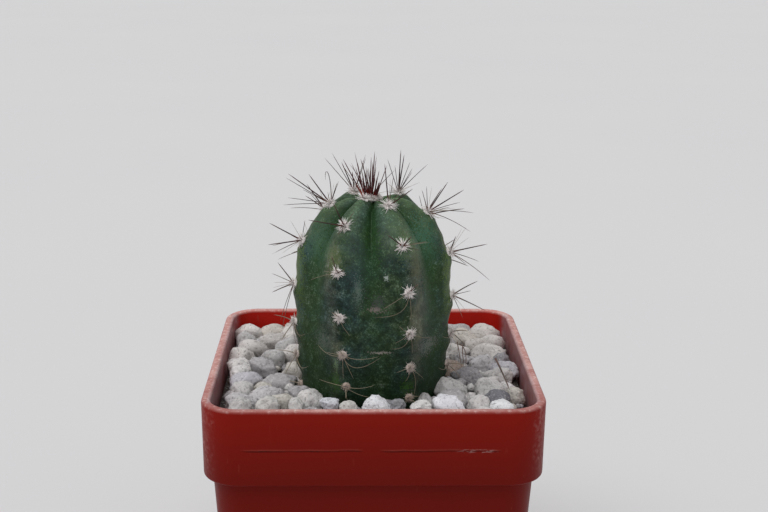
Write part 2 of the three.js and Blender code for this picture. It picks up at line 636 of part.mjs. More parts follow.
function makePlant() {
  const plant = new THREE.Group();
  const stem = makeStem(0);
  const stemHole = makeStem(SEAT_GAP);
  const areoles = findAreoles();
  areoles.forEach((areole) => {
    areole.name = `areole_rib${areole.rib + 1}_row${areole.row + 1}`;
  });
  const [youngest, ...others] = areoles;
  youngest.name = 'crown';
  const random = makeRandom(SPINE_SEED);
  const stones = placeStones(areoles);
  const fits = makeSpinePlanner(areoles, stones);
  plant.add(toMesh('pot', makePot(), 0xa8281a, 0.35));
  plant.add(toMesh('soil', makeSoil(stemHole), 0x3a2c22, 0.95));
  plant.add(toMesh('gravel', makeGravel(stemHole, stones), 0xb9b8b5, 0.9));
  plant.add(toMesh('stem', stem, 0x2f5033, 0.55));
  plant.add(toMesh('crown', makeCrown(youngest, random, fits, stemHole), 0x5a2420, 0.6));
  others.forEach((areole) => {
    plant.add(toMesh(areole.name, makeAreole(areole, random, fits, stemHole), 0xd8cdc0, 0.8));
  });
  return plant;
}

export default makePlant();
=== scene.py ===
import bisect
import math
import random

import bmesh
import bpy
from mathutils import Matrix, Vector, noise


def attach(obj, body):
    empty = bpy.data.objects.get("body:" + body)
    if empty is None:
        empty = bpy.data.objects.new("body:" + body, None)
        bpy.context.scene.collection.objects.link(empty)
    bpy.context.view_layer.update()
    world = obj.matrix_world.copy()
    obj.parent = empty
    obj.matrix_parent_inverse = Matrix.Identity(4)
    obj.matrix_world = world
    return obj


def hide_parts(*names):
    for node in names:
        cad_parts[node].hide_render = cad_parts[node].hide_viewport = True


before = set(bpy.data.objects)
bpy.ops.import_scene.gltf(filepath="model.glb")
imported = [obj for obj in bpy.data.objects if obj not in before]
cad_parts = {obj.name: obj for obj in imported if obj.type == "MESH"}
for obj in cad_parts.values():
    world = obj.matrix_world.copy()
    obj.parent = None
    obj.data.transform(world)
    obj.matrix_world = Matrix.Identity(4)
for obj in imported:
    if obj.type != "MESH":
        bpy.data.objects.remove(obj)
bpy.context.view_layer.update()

# A young borzicactus in a square nursery pot. Shapes are worked out in millimetres and
# scaled to metres when each piece is finished.
MM = 0.001

# Camera
# A 61 mm lens about 215 mm in front of the plant and 37 mm above its tip, which looks
# slightly down on the pot's front.
CAMERA_PLACE = Vector((-3.725, -215.468, 124.112))
CAMERA_PITCH = math.radians(14.656)
CAMERA_YAW = math.radians(-1.508)
CAMERA_ROLL = math.radians(0.487)
LENS_LENGTH = 60.75
SENSOR_WIDTH = 36
NEAREST_SEEN = 10
FARTHEST_SEEN = 20000


def new_object(name, data):
    """An object that shows some data, in the scene."""
    thing = bpy.data.objects.new(name, data)
    bpy.context.scene.collection.objects.link(thing)
    return thing


camera = new_object("camera", bpy.data.cameras.new("camera"))
camera.data.lens = LENS_LENGTH
camera.data.sensor_width = SENSOR_WIDTH
camera.data.clip_start = NEAREST_SEEN * MM
camera.data.clip_end = FARTHEST_SEEN * MM
camera.matrix_world = (
    Matrix.Translation(CAMERA_PLACE * MM)
    @ Matrix.Rotation(CAMERA_YAW, 4, "Z")
    @ Matrix.Rotation(math.pi / 2 - CAMERA_PITCH, 4, "X")
    @ Matrix.Rotation(CAMERA_ROLL, 4, "Z"))
bpy.context.scene.camera = camera

# Bench and light
# A pale painted board under a broad, soft light from above, a little from the left and the
# front, as under a white tent. The board is not part of the plant.
BENCH_HALF_WIDTH = 8000
BENCH_COLOUR = "#dcdcdc"
SKY_COLOUR = "#f7f6f8"
SKY_STRENGTH = 0.43
SUN_STRENGTH = 1.8
SUN_SPREAD = 70
SUN_FORWARD = 8
SUN_LEFTWARD = -15


def new_mesh(name, bm):
    """A mesh with the finished shape of a bmesh, which is used up."""
    mesh = bpy.data.meshes.new(name)
    bm.to_mesh(mesh)
    bm.free()
    return mesh


def linear(hex_colour):
    """Turns an sRGB hex colour into the linear red, green, blue and alpha of a socket."""
    channels = [int(hex_colour[i:i + 2], 16) / 255 for i in (1, 3, 5)]
    return tuple(c / 12.92 if c <= 0.04045 else ((c + 0.055) / 1.055) ** 2.4 for c in channels) + (1.0,)


# A Mix node's colour sockets share their names with its other kinds, so they go by number.
FACTOR, COLOUR_A, COLOUR_B, MIXED = 0, 6, 7, 2


def add(tree, kind, inputs, output=0, **settings):
    """Adds a shader node and gives one of its outputs. Inputs are values or linked sockets, and
    settings are the node's own properties."""
    node = tree.nodes.new("ShaderNode" + kind)
    for name, value in settings.items():
        setattr(node, name, value)
    for socket, value in inputs.items():
        if isinstance(value, bpy.types.NodeSocket):
            tree.links.new(value, node.inputs[socket])
        else:
            node.inputs[socket].default_value = value
    return node.outputs[output]


def new_material(name, finish):
    """A material whose shader has the constant values of its finish, and the object's own
    coordinates for its patterns, whose scale is how many of their spots span a millimetre."""
    material = bpy.data.materials.new(name)
    material.use_nodes = True
    tree = material.node_tree
    tree.nodes.clear()
    shader = add(tree, "BsdfPrincipled", finish).node
    output = tree.nodes.new("ShaderNodeOutputMaterial")
    tree.links.new(shader.outputs["BSDF"], output.inputs["Surface"])
    place = add(tree, "TexCoord", {}, "Object")
    return material, tree, shader, place


def lay_tints(tree, colour, tints):
    """Lays tints over a colour, one after another, each where all of its masks meet."""
    for masks, tint in tints:
        share = masks[0]
        for mask in masks[1:]:
            share = add(tree, "Math", {0: share, 1: mask}, operation="MULTIPLY")
        colour = add(
            tree, "Mix", {FACTOR: share, COLOUR_A: colour, COLOUR_B: linear(tint)},
            MIXED, data_type="RGBA")
    return colour


def finish_surface(tree, shader, colour, reliefs):
    """Gives the shader its colour and its reliefs, laid over each other: each is a height, a
    strength, a depth in millimetres and whether it sinks."""
    tree.links.new(colour, shader.inputs["Base Color"])
    below = {}
    for height, strength, depth, sinks in reliefs:
        below["Normal"] = add(
            tree, "Bump",
            {"Height": height, "Strength": strength, "Distance": depth * MM, **below}, invert=sinks)
    for socket, normal in below.items():
        tree.links.new(normal, shader.inputs[socket])


def make_bench_paint():
    """Matt emulsion paint, rolled on board: pale grey with a hardly visible unevenness."""
    material, tree, shader, place = new_material(
        "matt_emulsion_paint", {"Roughness": 0.9, "Specular IOR Level": 0.15})
    cloud = add(tree, "TexNoise", {"Vector": place, "Scale": 0.006 / MM, "Detail": 3})
    colour = lay_tints(tree, linear(BENCH_COLOUR), [([cloud], "#d8d8d9")])
    finish_surface(tree, shader, colour, [])
    return material


bench_bm = bmesh.new()
bmesh.ops.create_grid(bench_bm, x_segments=1, y_segments=1, size=BENCH_HALF_WIDTH * MM)
bench = new_object("bench", new_mesh("bench", bench_bm))
bench.data.materials.append(make_bench_paint())

world = bpy.data.worlds.new("soft_sky")
bpy.context.scene.world = world
world.use_nodes = True
world.node_tree.nodes["Background"].inputs["Color"].default_value = linear(SKY_COLOUR)
world.node_tree.nodes["Background"].inputs["Strength"].default_value = SKY_STRENGTH
sun = bpy.data.lights.new("soft_overhead", "SUN")
sun.energy = SUN_STRENGTH
sun.angle = math.radians(SUN_SPREAD)
sun_holder = new_object("soft_overhead", sun)
sun_holder.rotation_euler = (math.radians(SUN_FORWARD), math.radians(SUN_LEFTWARD), 0)
bpy.context.scene.view_settings.view_transform = "Standard"

# The pot
# One piece of red polypropylene, injection-moulded: a square cup with a tall collar that
# steps in to a tapered body, a rounded lip and four drain holes in the floor.
POT_HEIGHT = 50.0
RIM_HALF_WIDTH = 27.5
RIM_CORNER_RADIUS = 6.2
CORNER_SEGMENTS = 12
COLLAR_BOTTOM = 37.3
COLLAR_HALF_WIDTH = 27.35
BODY_HALF_WIDTH = 26.0
FOOT_HALF_WIDTH = 23.67
WALL = 1.2
LIP_WIDTH = 1.5
LEDGE_HEIGHT = 38.5
EDGE_ROUNDING = 0.45
FOOT_ROUNDING = 0.9
DRAIN_RADIUS = 1.7
DRAIN_OFFSET = 13.0
DRAIN_SEGMENTS = 24
EDGE_SEGMENTS = 4
SHARP_ANGLE = 35
INNER_HALF_WIDTH = RIM_HALF_WIDTH - LIP_WIDTH
COLLAR_DRAFT = 0.15
LINE_HEIGHT = 43.35
LINE_WAVER = 0.2
LINE_SHIFT = 0.5
FLASH_RISE = 0.24
POT_RED = "#881509"
POT_RED_IN_PAINTED_SHADE = "#6c1006"
POT_RED_PAINTED_LIGHT = "#bb2016"
POT_WORN = "#d8aca5"
POT_CHIP = "#ecdcd6"
POT_DUST = "#b9a8ac"
POT_SCRATCH_AND_HIGHLIGHT = "#a8564a"
POT_LINE_PAINTED_SHADE = "#360905"


def rounded_square(bm, half_width, corner_radius, height):
    """One flat face with round corners, at a height."""
    grid = bmesh.ops.create_grid(
        bm, x_segments=1, y_segments=1, size=half_width,
        matrix=Matrix.Translation((0, 0, height)))
    bmesh.ops.bevel(
        bm, geom=grid["verts"], offset=corner_radius, offset_type="OFFSET", affect="VERTICES",
        segments=CORNER_SEGMENTS, profile=0.5, material=-1)
    return max(bm.faces, key=lambda face: face.calc_area())


def push_loop(bm, edges, half_width, height):
    """Extrudes a ring of edges to a new height and half width, and gives the new ring."""
    grown = bmesh.ops.extrude_edge_only(bm, edges=edges)["geom"]
    verts = [item for item in grown if isinstance(item, bmesh.types.BMVert)]
    ring = [
        item for item in grown
        if isinstance(item, bmesh.types.BMEdge) and all(v in verts for v in item.verts)]
    now = max(abs(v.co.x) for v in verts)
    for vert in verts:
        vert.co.x *= half_width / now
        vert.co.y *= half_width / now
        vert.co.z = height
    return ring


def finish_piece(name, bm, materials, nodes=()):
    """Scales a finished mesh to metres, gives it its materials and seats it on the root."""
    bmesh.ops.scale(bm, vec=(MM, MM, MM), verts=bm.verts)
    for face in bm.faces:
        face.smooth = True
    piece = new_object(name, new_mesh(name, bm))
    for material in materials:
        piece.data.materials.append(material)
    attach(piece, "root")
    if nodes:
        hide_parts(*nodes)
    return piece


def make_pot_plastic():
    """Polypropylene straight from the mould: waxy satin red, darker towards the bottom with painted
    shade and lighter on the back wall inside with painted light, with a chalky worn lip, dusty side
    walls, and a knit line painted dark as shade, with a painted highlight above it and pale scuffs on the
    collar."""
    material, tree, shader, place = new_material(
        "moulded_polypropylene", {"IOR": 1.49, "Specular IOR Level": 0.09})
    x, y, z = add(tree, "SeparateXYZ", {"Vector": place}).node.outputs
    sideways = add(tree, "Math", {0: x}, operation="ABSOLUTE")
    depth = add(tree, "Math", {0: y}, operation="ABSOLUTE")
    front_reach = add(tree, "Math", {0: sideways, 1: y}, operation="SUBTRACT")
    shifted = add(tree, "Math", {0: x, 1: LINE_SHIFT * MM}, operation="ADD")
    from_middle = add(tree, "Math", {0: shifted}, operation="ABSOLUTE")

    # Scuffs run along the knit line, and handling scratches are short, fine and nearly upright.
    along_line = add(tree, "Mapping", {"Vector": place, "Scale": (1.1, 1.1, 4.2)})
    upright = add(
        tree, "Mapping",
        {"Vector": place, "Rotation": (0.3, 0.45, 0.1), "Scale": (1.4, 1.4, 0.3)})
    cloud, wander, patches, grain, grit, scuff_noise, scratch_noise = [
        add(
            tree, "TexNoise",
            {"Vector": vector, "Scale": spots / MM, "Detail": detail, "Roughness": roughness})
        for vector, spots, detail, roughness in (
            (place, 0.06, 4, 0.5), (place, 0.18, 3, 0.5), (place, 0.26, 8, 0.75), (place, 0.9, 5, 0.5),
            (place, 1.5, 4, 0.5), (along_line, 1, 3, 0.5), (upright, 1, 2, 0.5))]

    # The knit line wavers across the front and the back of the collar with a gap in its middle. It
    # is painted dark as shade in its groove, and the flash above it gets a painted highlight.
    wobble = add(
        tree, "MapRange",
        {"Value": wander, "To Min": (LINE_HEIGHT - LINE_WAVER) * MM,
         "To Max": (LINE_HEIGHT + LINE_WAVER) * MM})
    above = add(tree, "Math", {0: z, 1: wobble}, operation="SUBTRACT")
    off_line = add(tree, "Math", {0: above}, operation="ABSOLUTE")
    above_flash = add(tree, "Math", {0: above, 1: FLASH_RISE * MM}, operation="SUBTRACT")
    off_flash = add(tree, "Math", {0: above_flash}, operation="ABSOLUTE")

    # Each mask goes from its first share to its second between two places, in millimetres, or
    # between two values of a pattern.
    in_place = {
        "rise": (z, 38, 49, 0, 0.85), "lip": (z, 49.5, 49.97, 0, 1),
        "off_front_corner": (front_reach, 38, 49, 1, 0.55), "inner_edge": (y, -27.45, -27.15, 0.45, 1),
        "inner_back": (y, 26.6, 26.3, 0, 1), "near_back": (y, 22.5, 25.5, 0, 1),
        "inner_side": (sideways, 26.6, 26.3, 0, 1), "near_side": (sideways, 24.8, 25.6, 0, 1),
        "off_corner": (depth, 24.6, 22.8, 0, 1), "in_collar": (z, 39, 41, 0, 1),
        "on_line": (off_line, 0.16, 0.06, 0, 1), "on_flash": (off_flash, 0.16, 0.04, 0, 0.4),
        "past_gap": (from_middle, 1.2, 2.2, 0, 1), "before_end": (from_middle, 20.6, 19, 0, 1),
        "on_face": (depth, 26.9, 27.1, 0, 1), "by_line": (off_line, 0.42, 0.12, 0, 1),
        "scuffs_start": (x, 12.5, 15, 0, 0.28), "scuffs_end": (x, 19.5, 18, 0, 1),
        "out_sideways": (sideways, 24.8, 27.3, 0, 1), "at_corner": (depth, 17, 26, 0, 1),
        "above_ledge": (z, 37, 42, 0.3, 1), "near_corner": (sideways, 20, 23.5, 0.12, 1)}
    in_pattern = {
        "lip_wear": (patches, 0.4, 0.6, 0.48, 0.95), "chips": (grit, 0.54, 0.68, 0, 0.75),
        "dust": (patches, 0.38, 0.6, 0.2, 0.5), "faint": (patches, 0.35, 0.6, 0.9, 0.35),
        "scuffs": (scuff_noise, 0.5, 0.64, 0, 1), "scratches": (scratch_noise, 0.7, 0.78, 0, 0.5),
        "rubs": (grit, 0.45, 0.65, 0, 0.55), "rub_patches": (patches, 0.4, 0.62, 0.15, 1),
        "gloss": (patches, 0.3, 0.7, 0.34, 0.5)}
    masks = {}
    for unit, ramps in ((MM, in_place), (1, in_pattern)):
        for name, (value, start, end, low, high) in ramps.items():
            masks[name] = add(
                tree, "MapRange",
                {"Value": value, "From Min": start * unit, "From Max": end * unit, "To Min": low,
                 "To Max": high})
    # The tone mixes random clouding with the rise mask, which is painted shade: the red darkens towards the
    # bottom.
    masks["tone_and_painted_shade"] = add(tree, "Math", {0: cloud, 1: 0.3, 2: masks["rise"]}, operation="MULTIPLY_ADD")
    for name, first, others in (
            ("worn", "lip", ("lip_wear", "off_front_corner", "inner_edge")),
            ("line", "on_line", ("past_gap", "before_end", "on_face", "faint"))):
        masks[name] = masks[first]
        for other in others:
            masks[name] = add(tree, "Math", {0: masks[name], 1: masks[other]}, operation="MULTIPLY")

    # Painted light brightens the red of the back wall inside, as if light came through the thin
    # plastic, the upright corners have rubbed against other pots, the lip is chalky and chipped, and
    # dust clings to the two side walls inside.
    tints = [
        ("tone_and_painted_shade", POT_RED), ("inner_side inner_back near_back in_collar", POT_RED_PAINTED_LIGHT),
        ("rubs rub_patches out_sideways at_corner above_ledge", POT_WORN),
        ("scratches near_corner", POT_SCRATCH_AND_HIGHLIGHT),
        # A thin painted highlight along the flash above the knit line, in the scratch colour.
        ("on_flash past_gap before_end on_face faint", POT_SCRATCH_AND_HIGHLIGHT),
        ("worn", POT_WORN), ("worn chips", POT_CHIP),
        ("dust inner_side near_side off_corner in_collar", POT_DUST), ("line", POT_LINE_PAINTED_SHADE),
        ("scuffs by_line scuffs_start scuffs_end on_face", POT_CHIP)]
    colour = lay_tints(
        tree, linear(POT_RED_IN_PAINTED_SHADE),
        [([masks[part] for part in parts.split()], tint) for parts, tint in tints])
    rough = add(tree, "Math", {0: masks["gloss"], 1: masks["worn"]}, operation="MAXIMUM")
    tree.links.new(rough, shader.inputs["Roughness"])
    finish_surface(tree, shader, colour, [
        (grain, 0.1, 0.1, False), (masks["worn"], 0.3, 0.12, False), (masks["line"], 0.6, 0.12, True)])
    return material


def cut_drain_holes(piece):
    """Cuts the four holes through the pot's floor."""
    cutter_bm = bmesh.new()
    for x in (-1, 1):
        for y in (-1, 1):
            bmesh.ops.create_cone(
                cutter_bm, cap_ends=True, segments=DRAIN_SEGMENTS, radius1=DRAIN_RADIUS * MM,
                radius2=DRAIN_RADIUS * MM, depth=4 * WALL * MM,
                matrix=Matrix.Translation((x * DRAIN_OFFSET * MM, y * DRAIN_OFFSET * MM, 0)))
    cutter = new_object("drain_drill", new_mesh("drain_drill", cutter_bm))
    drill = piece.modifiers.new("drain_holes", "BOOLEAN")
    drill.operation = "DIFFERENCE"
    drill.solver = "EXACT"
    drill.object = cutter
    shaped = piece.evaluated_get(bpy.context.evaluated_depsgraph_get())
    drilled = bpy.data.meshes.new_from_object(shaped)
    piece.modifiers.clear()
    piece.data = drilled
    bpy.data.objects.remove(cutter)


def make_pot():
    """The cup, pushed down from its flat lip: outside to the foot, and inside to the floor."""
    bm = bmesh.new()
    mouth = rounded_square(bm, RIM_HALF_WIDTH, RIM_CORNER_RADIUS, POT_HEIGHT)
    bmesh.ops.inset_region(
        bm, faces=[mouth], thickness=LIP_WIDTH, use_boundary=True, use_even_offset=True)
    inner = list(mouth.edges)
    outer = [edge for edge in bm.edges if len(edge.link_faces) == 1]
    lip_edges = outer + inner
    bm.faces.remove(mouth)
    ring = push_loop(bm, outer, COLLAR_HALF_WIDTH, COLLAR_BOTTOM)
    collar_edges = list(ring)
    ring = push_loop(bm, ring, BODY_HALF_WIDTH, COLLAR_BOTTOM)
    ring = push_loop(bm, ring, FOOT_HALF_WIDTH, 0)
    foot_edges = list(ring)
    bmesh.ops.contextual_create(bm, geom=ring)
    ring = push_loop(bm, inner, INNER_HALF_WIDTH - COLLAR_DRAFT, LEDGE_HEIGHT)
    ring = push_loop(bm, ring, BODY_HALF_WIDTH - WALL, LEDGE_HEIGHT)
    ring = push_loop(bm, ring, FOOT_HALF_WIDTH - WALL, WALL)
    bmesh.ops.contextual_create(bm, geom=ring)
    for edges, rounding in ((lip_edges + collar_edges, EDGE_ROUNDING), (foot_edges, FOOT_ROUNDING)):
        bmesh.ops.bevel(
            bm, geom=[edge for edge in edges if edge.is_valid], offset=rounding, offset_type="OFFSET",
            affect="EDGES", segments=EDGE_SEGMENTS, profile=0.5, material=-1)
    bmesh.ops.recalc_face_normals(bm, faces=bm.faces)
    piece = finish_piece("moulded_pot", bm, [make_pot_plastic()], ["pot"])
    cut_drain_holes(piece)
    piece.data.set_sharp_from_angle(angle=math.radians(SHARP_ANGLE))
    return piece


make_pot()

# The compost
# A plain block of damp peat mix that fills the pot below the gravel and holds the root neck.
PEAT = "#2c2019"
PEAT_DRY = "#4a382b"
PERLITE = "#b9b4a8"


def make_compost():
    """Peat-based compost: dark brown crumbs with a few pale specks of perlite."""
    material, tree, shader, place = new_material("peat_compost", {"Roughness": 0.95})
    crumbs = add(tree, "TexNoise", {"Vector": place, "Scale": 0.7 / MM, "Detail": 8})
    cells = add(tree, "TexVoronoi", {"Vector": place, "Scale": 0.26 / MM}, "Distance")
    specks = add(tree, "MapRange", {"Value": cells, "From Min": 0.16, "From Max": 0.1})
    colour = lay_tints(tree, linear(PEAT), [([crumbs], PEAT_DRY), ([specks], PERLITE)])
    finish_surface(tree, shader, colour, [(crumbs, 0.9, 0.6, False)])
    return material


compost = make_compost()
soil_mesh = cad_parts["soil"].data
if soil_mesh.materials:
    soil_mesh.materials[0] = compost
else:
    soil_mesh.materials.append(compost)

# The stem
# A ribbed green succulent stem grown in one piece with its root neck. Its crest line runs
# from the sunken apex down to the root, and between seven ribs the skin sinks into furrows.
STEM_CENTRE = Vector((0, -4.5, 0))
CREST_LINE = [
    (0, 78.2), (2.4, 78.9), (4.8, 79), (7.3, 78), (9.8, 75.8), (11.9, 72.4), (13, 68.4),
    (13.3, 63), (13.1, 56), (12.6, 50), (11.8, 45.4), (9.4, 40.2), (5.2, 34), (3, 30.6), (0, 30)]
CREST_SAMPLES_PER_SPAN = 60
RIB_ANGLES = [-24.4, 25, 78.1, 129.2, 180.3, 231.3, 282.4]
RIB_LEANS = [-0.33, -0.2, 0.1, -0.12, 0.08, -0.1, 0.12]
RIB_COUNT = len(RIB_ANGLES)
LEAN_HEIGHT = 62
APEX_RIM = 7
HEADING_STEP = 0.05
FURROW_SHARPNESS = 2.2
SHARP_UNTIL = 14
SMOOTH_FROM = 26
FURROW_DEPTHS = [
    (0, 0), (3, 1.3), (6, 2.2), (10, 2.5), (15, 2.1), (20, 1.6), (28, 1), (38, 0.7), (47, 0.3), (64, 0)]
DEEPEST_FURROW = 0.5
BUMP_RADIUS = 4.0
CREST_BAND = 1 / 3
CHIN_HEIGHT = 0.4
NOTCH_DEPTH = 0.28
CHIN_OFFSET = 1.5
CHIN_WIDTH = 1.1
SPIRAL_STEP = 3 / 7
AREOLE_DISTANCES = [3.2, 10.8, 18.4, 25.7, 32, 37.5, 42.9]
AREOLE_ROWS = len(AREOLE_DISTANCES) - 1
LOWEST_AREOLE = 47.0
SIDES_PER_RIB = 40
STEM_RING_STEP = 0.3
BURIED_RINGS = 14
GROUND_HEIGHT = 45.3
GROUND_OVERLAP = 2
COARSE_RELIEF = 0.12
COARSE_LENGTH = 3.6
FINE_RELIEF = 0.035
FINE_LENGTH = 0.9
SAME_PLACE = 1e-4
ROUNDING_ROOM = 1e-6
# The corky band beside each crest also stands for a painted sheen: on the two front ribs it lies on the
# flank that turns away, on the others near the crest.
CORK_AND_SHEEN_SIDES = [-0.13, 0.13, 0.05, 0, 0, 0, -0.05]
CORK_AND_SHEEN_WIDTH = 0.13
# Tinted patches of the skin, among them painted sunlight on its upper sides and a painted sheen along its
# left and right edges.
PATCHES_AND_PAINTED_LIGHT = [
    ((8.1, -12, 74), (3, 4, 3.2), "#578874", 0.6), ((9.2, -11.5, 66), (3, 4, 6.5), "#33541f", 0.3),
    ((-3.7, -16.5, 72), (2, 3, 3.6), "#627877", 0.18), ((2.8, -15.5, 75), (1.8, 3, 2.8), "#71867f", 0.25),
    ((-9, -12, 73), (2.4, 5, 3.5), "#5a806a", 0.5), ((-12.4, -5, 70), (0.9, 7, 9), "#7f9c58", 0.5),
    ((12.5, -5, 69), (0.8, 7, 9), "#7f9c55", 0.5), ((-6.4, -15, 71), (1.1, 3, 2.2), "#6c7d45", 0.45),
    ((5.2, -15, 73.6), (1.5, 3, 2.4), "#6f8a5c", 0.5), ((7, -14, 71), (0.9, 3, 4.5), "#7f8064", 0.36),
    ((-9.5, -10.5, 58), (3.6, 5, 9), "#2b4a1d", 0.4), ((9.6, -11, 54), (2.6, 4, 5), "#2d4c22", 0.4),
    ((5.6, -16.5, 49.8), (0.9, 2, 1), "#5c8f3c", 0.6), ((-6.2, -16, 50.6), (0.8, 2, 1.3), "#4c7a34", 0.5),
    ((-6.1, -16, 53.6), (0.35, 2, 1.1), "#8fb083", 0.5), ((7.6, -14, 62), (1.3, 3, 5), "#7a8075", 0.36),
    ((8.6, -12.6, 56), (1.8, 3, 1.2), "#8b918c", 0.6), ((-8, -13, 57), (1.1, 3, 1.6), "#7c857c", 0.5),
    ((0.3, -17.2, 63.1), (1.1, 3, 0.4), "#9c8b88", 0.7), ((0.7, -17, 64.2), (0.8, 3, 1), "#5f6462", 0.5),
    ((1, -16.9, 55.9), (1.2, 3, 0.2), "#b3ada4", 0.7), ((-2.6, -17, 66.2), (0.6, 3, 1.8), "#a9bcb2", 0.22),
    ((-5.2, -16, 67), (1.3, 3, 1.3), "#20251c", 0.2), ((1.8, -17, 71.2), (1.2, 3, 3), "#2b3b33", 0.5),
    ((1.9, -17.2, 68.4), (0.3, 3, 0.35), "#c9d6ce", 0.7)]


def spline_point(points, span, share):
    """A point of the smooth curve through the given ones, share of the way along one span."""
    a = Vector(points[max(span - 1, 0)])
    b = Vector(points[span])
    c = Vector(points[span + 1])
    d = Vector(points[min(span + 2, len(points) - 1)])
    leave = (c - a) / 2
    arrive = (d - b) / 2
    cubed = 2 * b - 2 * c + leave + arrive
    squared = 3 * c - 3 * b - 2 * leave - arrive
    return ((cubed * share + squared) * share + leave) * share + b


crest_points = [
    spline_point(CREST_LINE, span, i / CREST_SAMPLES_PER_SPAN)
    for span in range(len(CREST_LINE) - 1) for i in range(CREST_SAMPLES_PER_SPAN)]
crest_points.append(Vector(CREST_LINE[-1]))
crest_lengths = [0.0]
for before, after in zip(crest_points, crest_points[1:]):
    crest_lengths.append(crest_lengths[-1] + (after - before).length)
CREST_LENGTH = crest_lengths[-1]


def interpolate(keys, values, at):
    """The value at a key, on the straight line between its neighbours in the table."""
    after = min(max(bisect.bisect_right(keys, at), 1), len(keys) - 1)
    share = (at - keys[after - 1]) / (keys[after] - keys[after - 1])
    share = min(max(share, 0), 1)
    return values[after - 1] * (1 - share) + values[after] * share


def crest_at(distance):
    """Radius and height of the crest line at a distance from the apex."""
    return interpolate(crest_lengths, crest_points, distance)


def heading_at(distance):
    """The direction of the crest line at a distance from the apex."""
    return (crest_at(distance + HEADING_STEP) - crest_at(distance - HEADING_STEP)).normalized()


def distance_at_height(z):
    """How far down the crest line a height lies, below the apex's rim."""
    start = next(i for i, point in enumerate(crest_points) if point.x > APEX_RIM)
    found = next(
        (i for i in range(start, len(crest_points)) if crest_points[i].y < z), len(crest_points) - 1)
    return crest_lengths[found]


def rib_angle(rib, z):
    """Angle of a rib's crest at a height, from the front towards the right."""
    turns, index = divmod(rib, RIB_COUNT)
    return math.radians(RIB_ANGLES[index] + RIB_LEANS[index] * (z - LEAN_HEIGHT) + 360 * turns)


def areole_distance(rib, row):
    """Distance of an areole from the apex along its crest, between the first rib's rows."""
    share = (rib * SPIRAL_STEP) % 1
    return AREOLE_DISTANCES[row] * (1 - share) + AREOLE_DISTANCES[row + 1] * share


def chin_bump(rib, distance):
    """The chin under each areole and the notch above it."""
    bump = 0
    for row in range(AREOLE_ROWS):
        offset = distance - areole_distance(rib, row)
        bump += CHIN_HEIGHT * math.exp(-(((offset - CHIN_OFFSET) / CHIN_WIDTH) ** 2))
        bump -= NOTCH_DEPTH * math.exp(-(((offset + CHIN_OFFSET) / CHIN_WIDTH) ** 2))
    return bump


furrow_keys, furrow_values = zip(*FURROW_DEPTHS)


def skin_at(rib_position, distance):
    """Radius and height of the skin at a place between ribs, a distance from the apex. The
    ribs are fat and the furrows between them sharp near the top, and both fade lower down."""
    from_crest = abs(rib_position - round(rib_position))
    sharp = (2 * from_crest) ** FURROW_SHARPNESS
    smooth = math.sin(math.pi * from_crest) ** 2
    blend = min(max((distance - SHARP_UNTIL) / (SMOOTH_FROM - SHARP_UNTIL), 0), 1)
    fall = sharp * (1 - blend) + smooth * blend
    crest = crest_at(distance)
    furrow = min(interpolate(furrow_keys, furrow_values, distance), DEEPEST_FURROW * crest.x)
    bump = min(1, crest.x / BUMP_RADIUS) * chin_bump(round(rib_position) % RIB_COUNT, distance)
    offset = bump * max(0, 1 - from_crest / CREST_BAND) - furrow * fall
    heading = heading_at(distance)
    return max(0, crest.x - offset * heading.y), crest.y + offset * heading.x


def find_areoles():
    """Every areole's place on its rib, with the directions out of, up and across the skin."""
    areoles = []
    for row in range(AREOLE_ROWS):
        for rib in range(RIB_COUNT):
            distance = areole_distance(rib, row)
            z = crest_at(distance).y
            if z <= LOWEST_AREOLE:
                continue
            angle = rib_angle(rib, z)
            outward = Vector((math.sin(angle), -math.cos(angle), 0))
            heading = heading_at(distance)
            normal = (outward * -heading.y + Vector((0, 0, heading.x))).normalized()
            across = Vector((math.cos(angle), math.sin(angle), 0))
            upward = normal.cross(across).normalized()
            radius, height = skin_at(rib, distance)
            centre = STEM_CENTRE + outward * radius + Vector((0, 0, height))
            areoles.append({
                "rib": rib, "row": row, "centre": centre, "normal": normal,
                "across": across, "upward": upward})
    return areoles


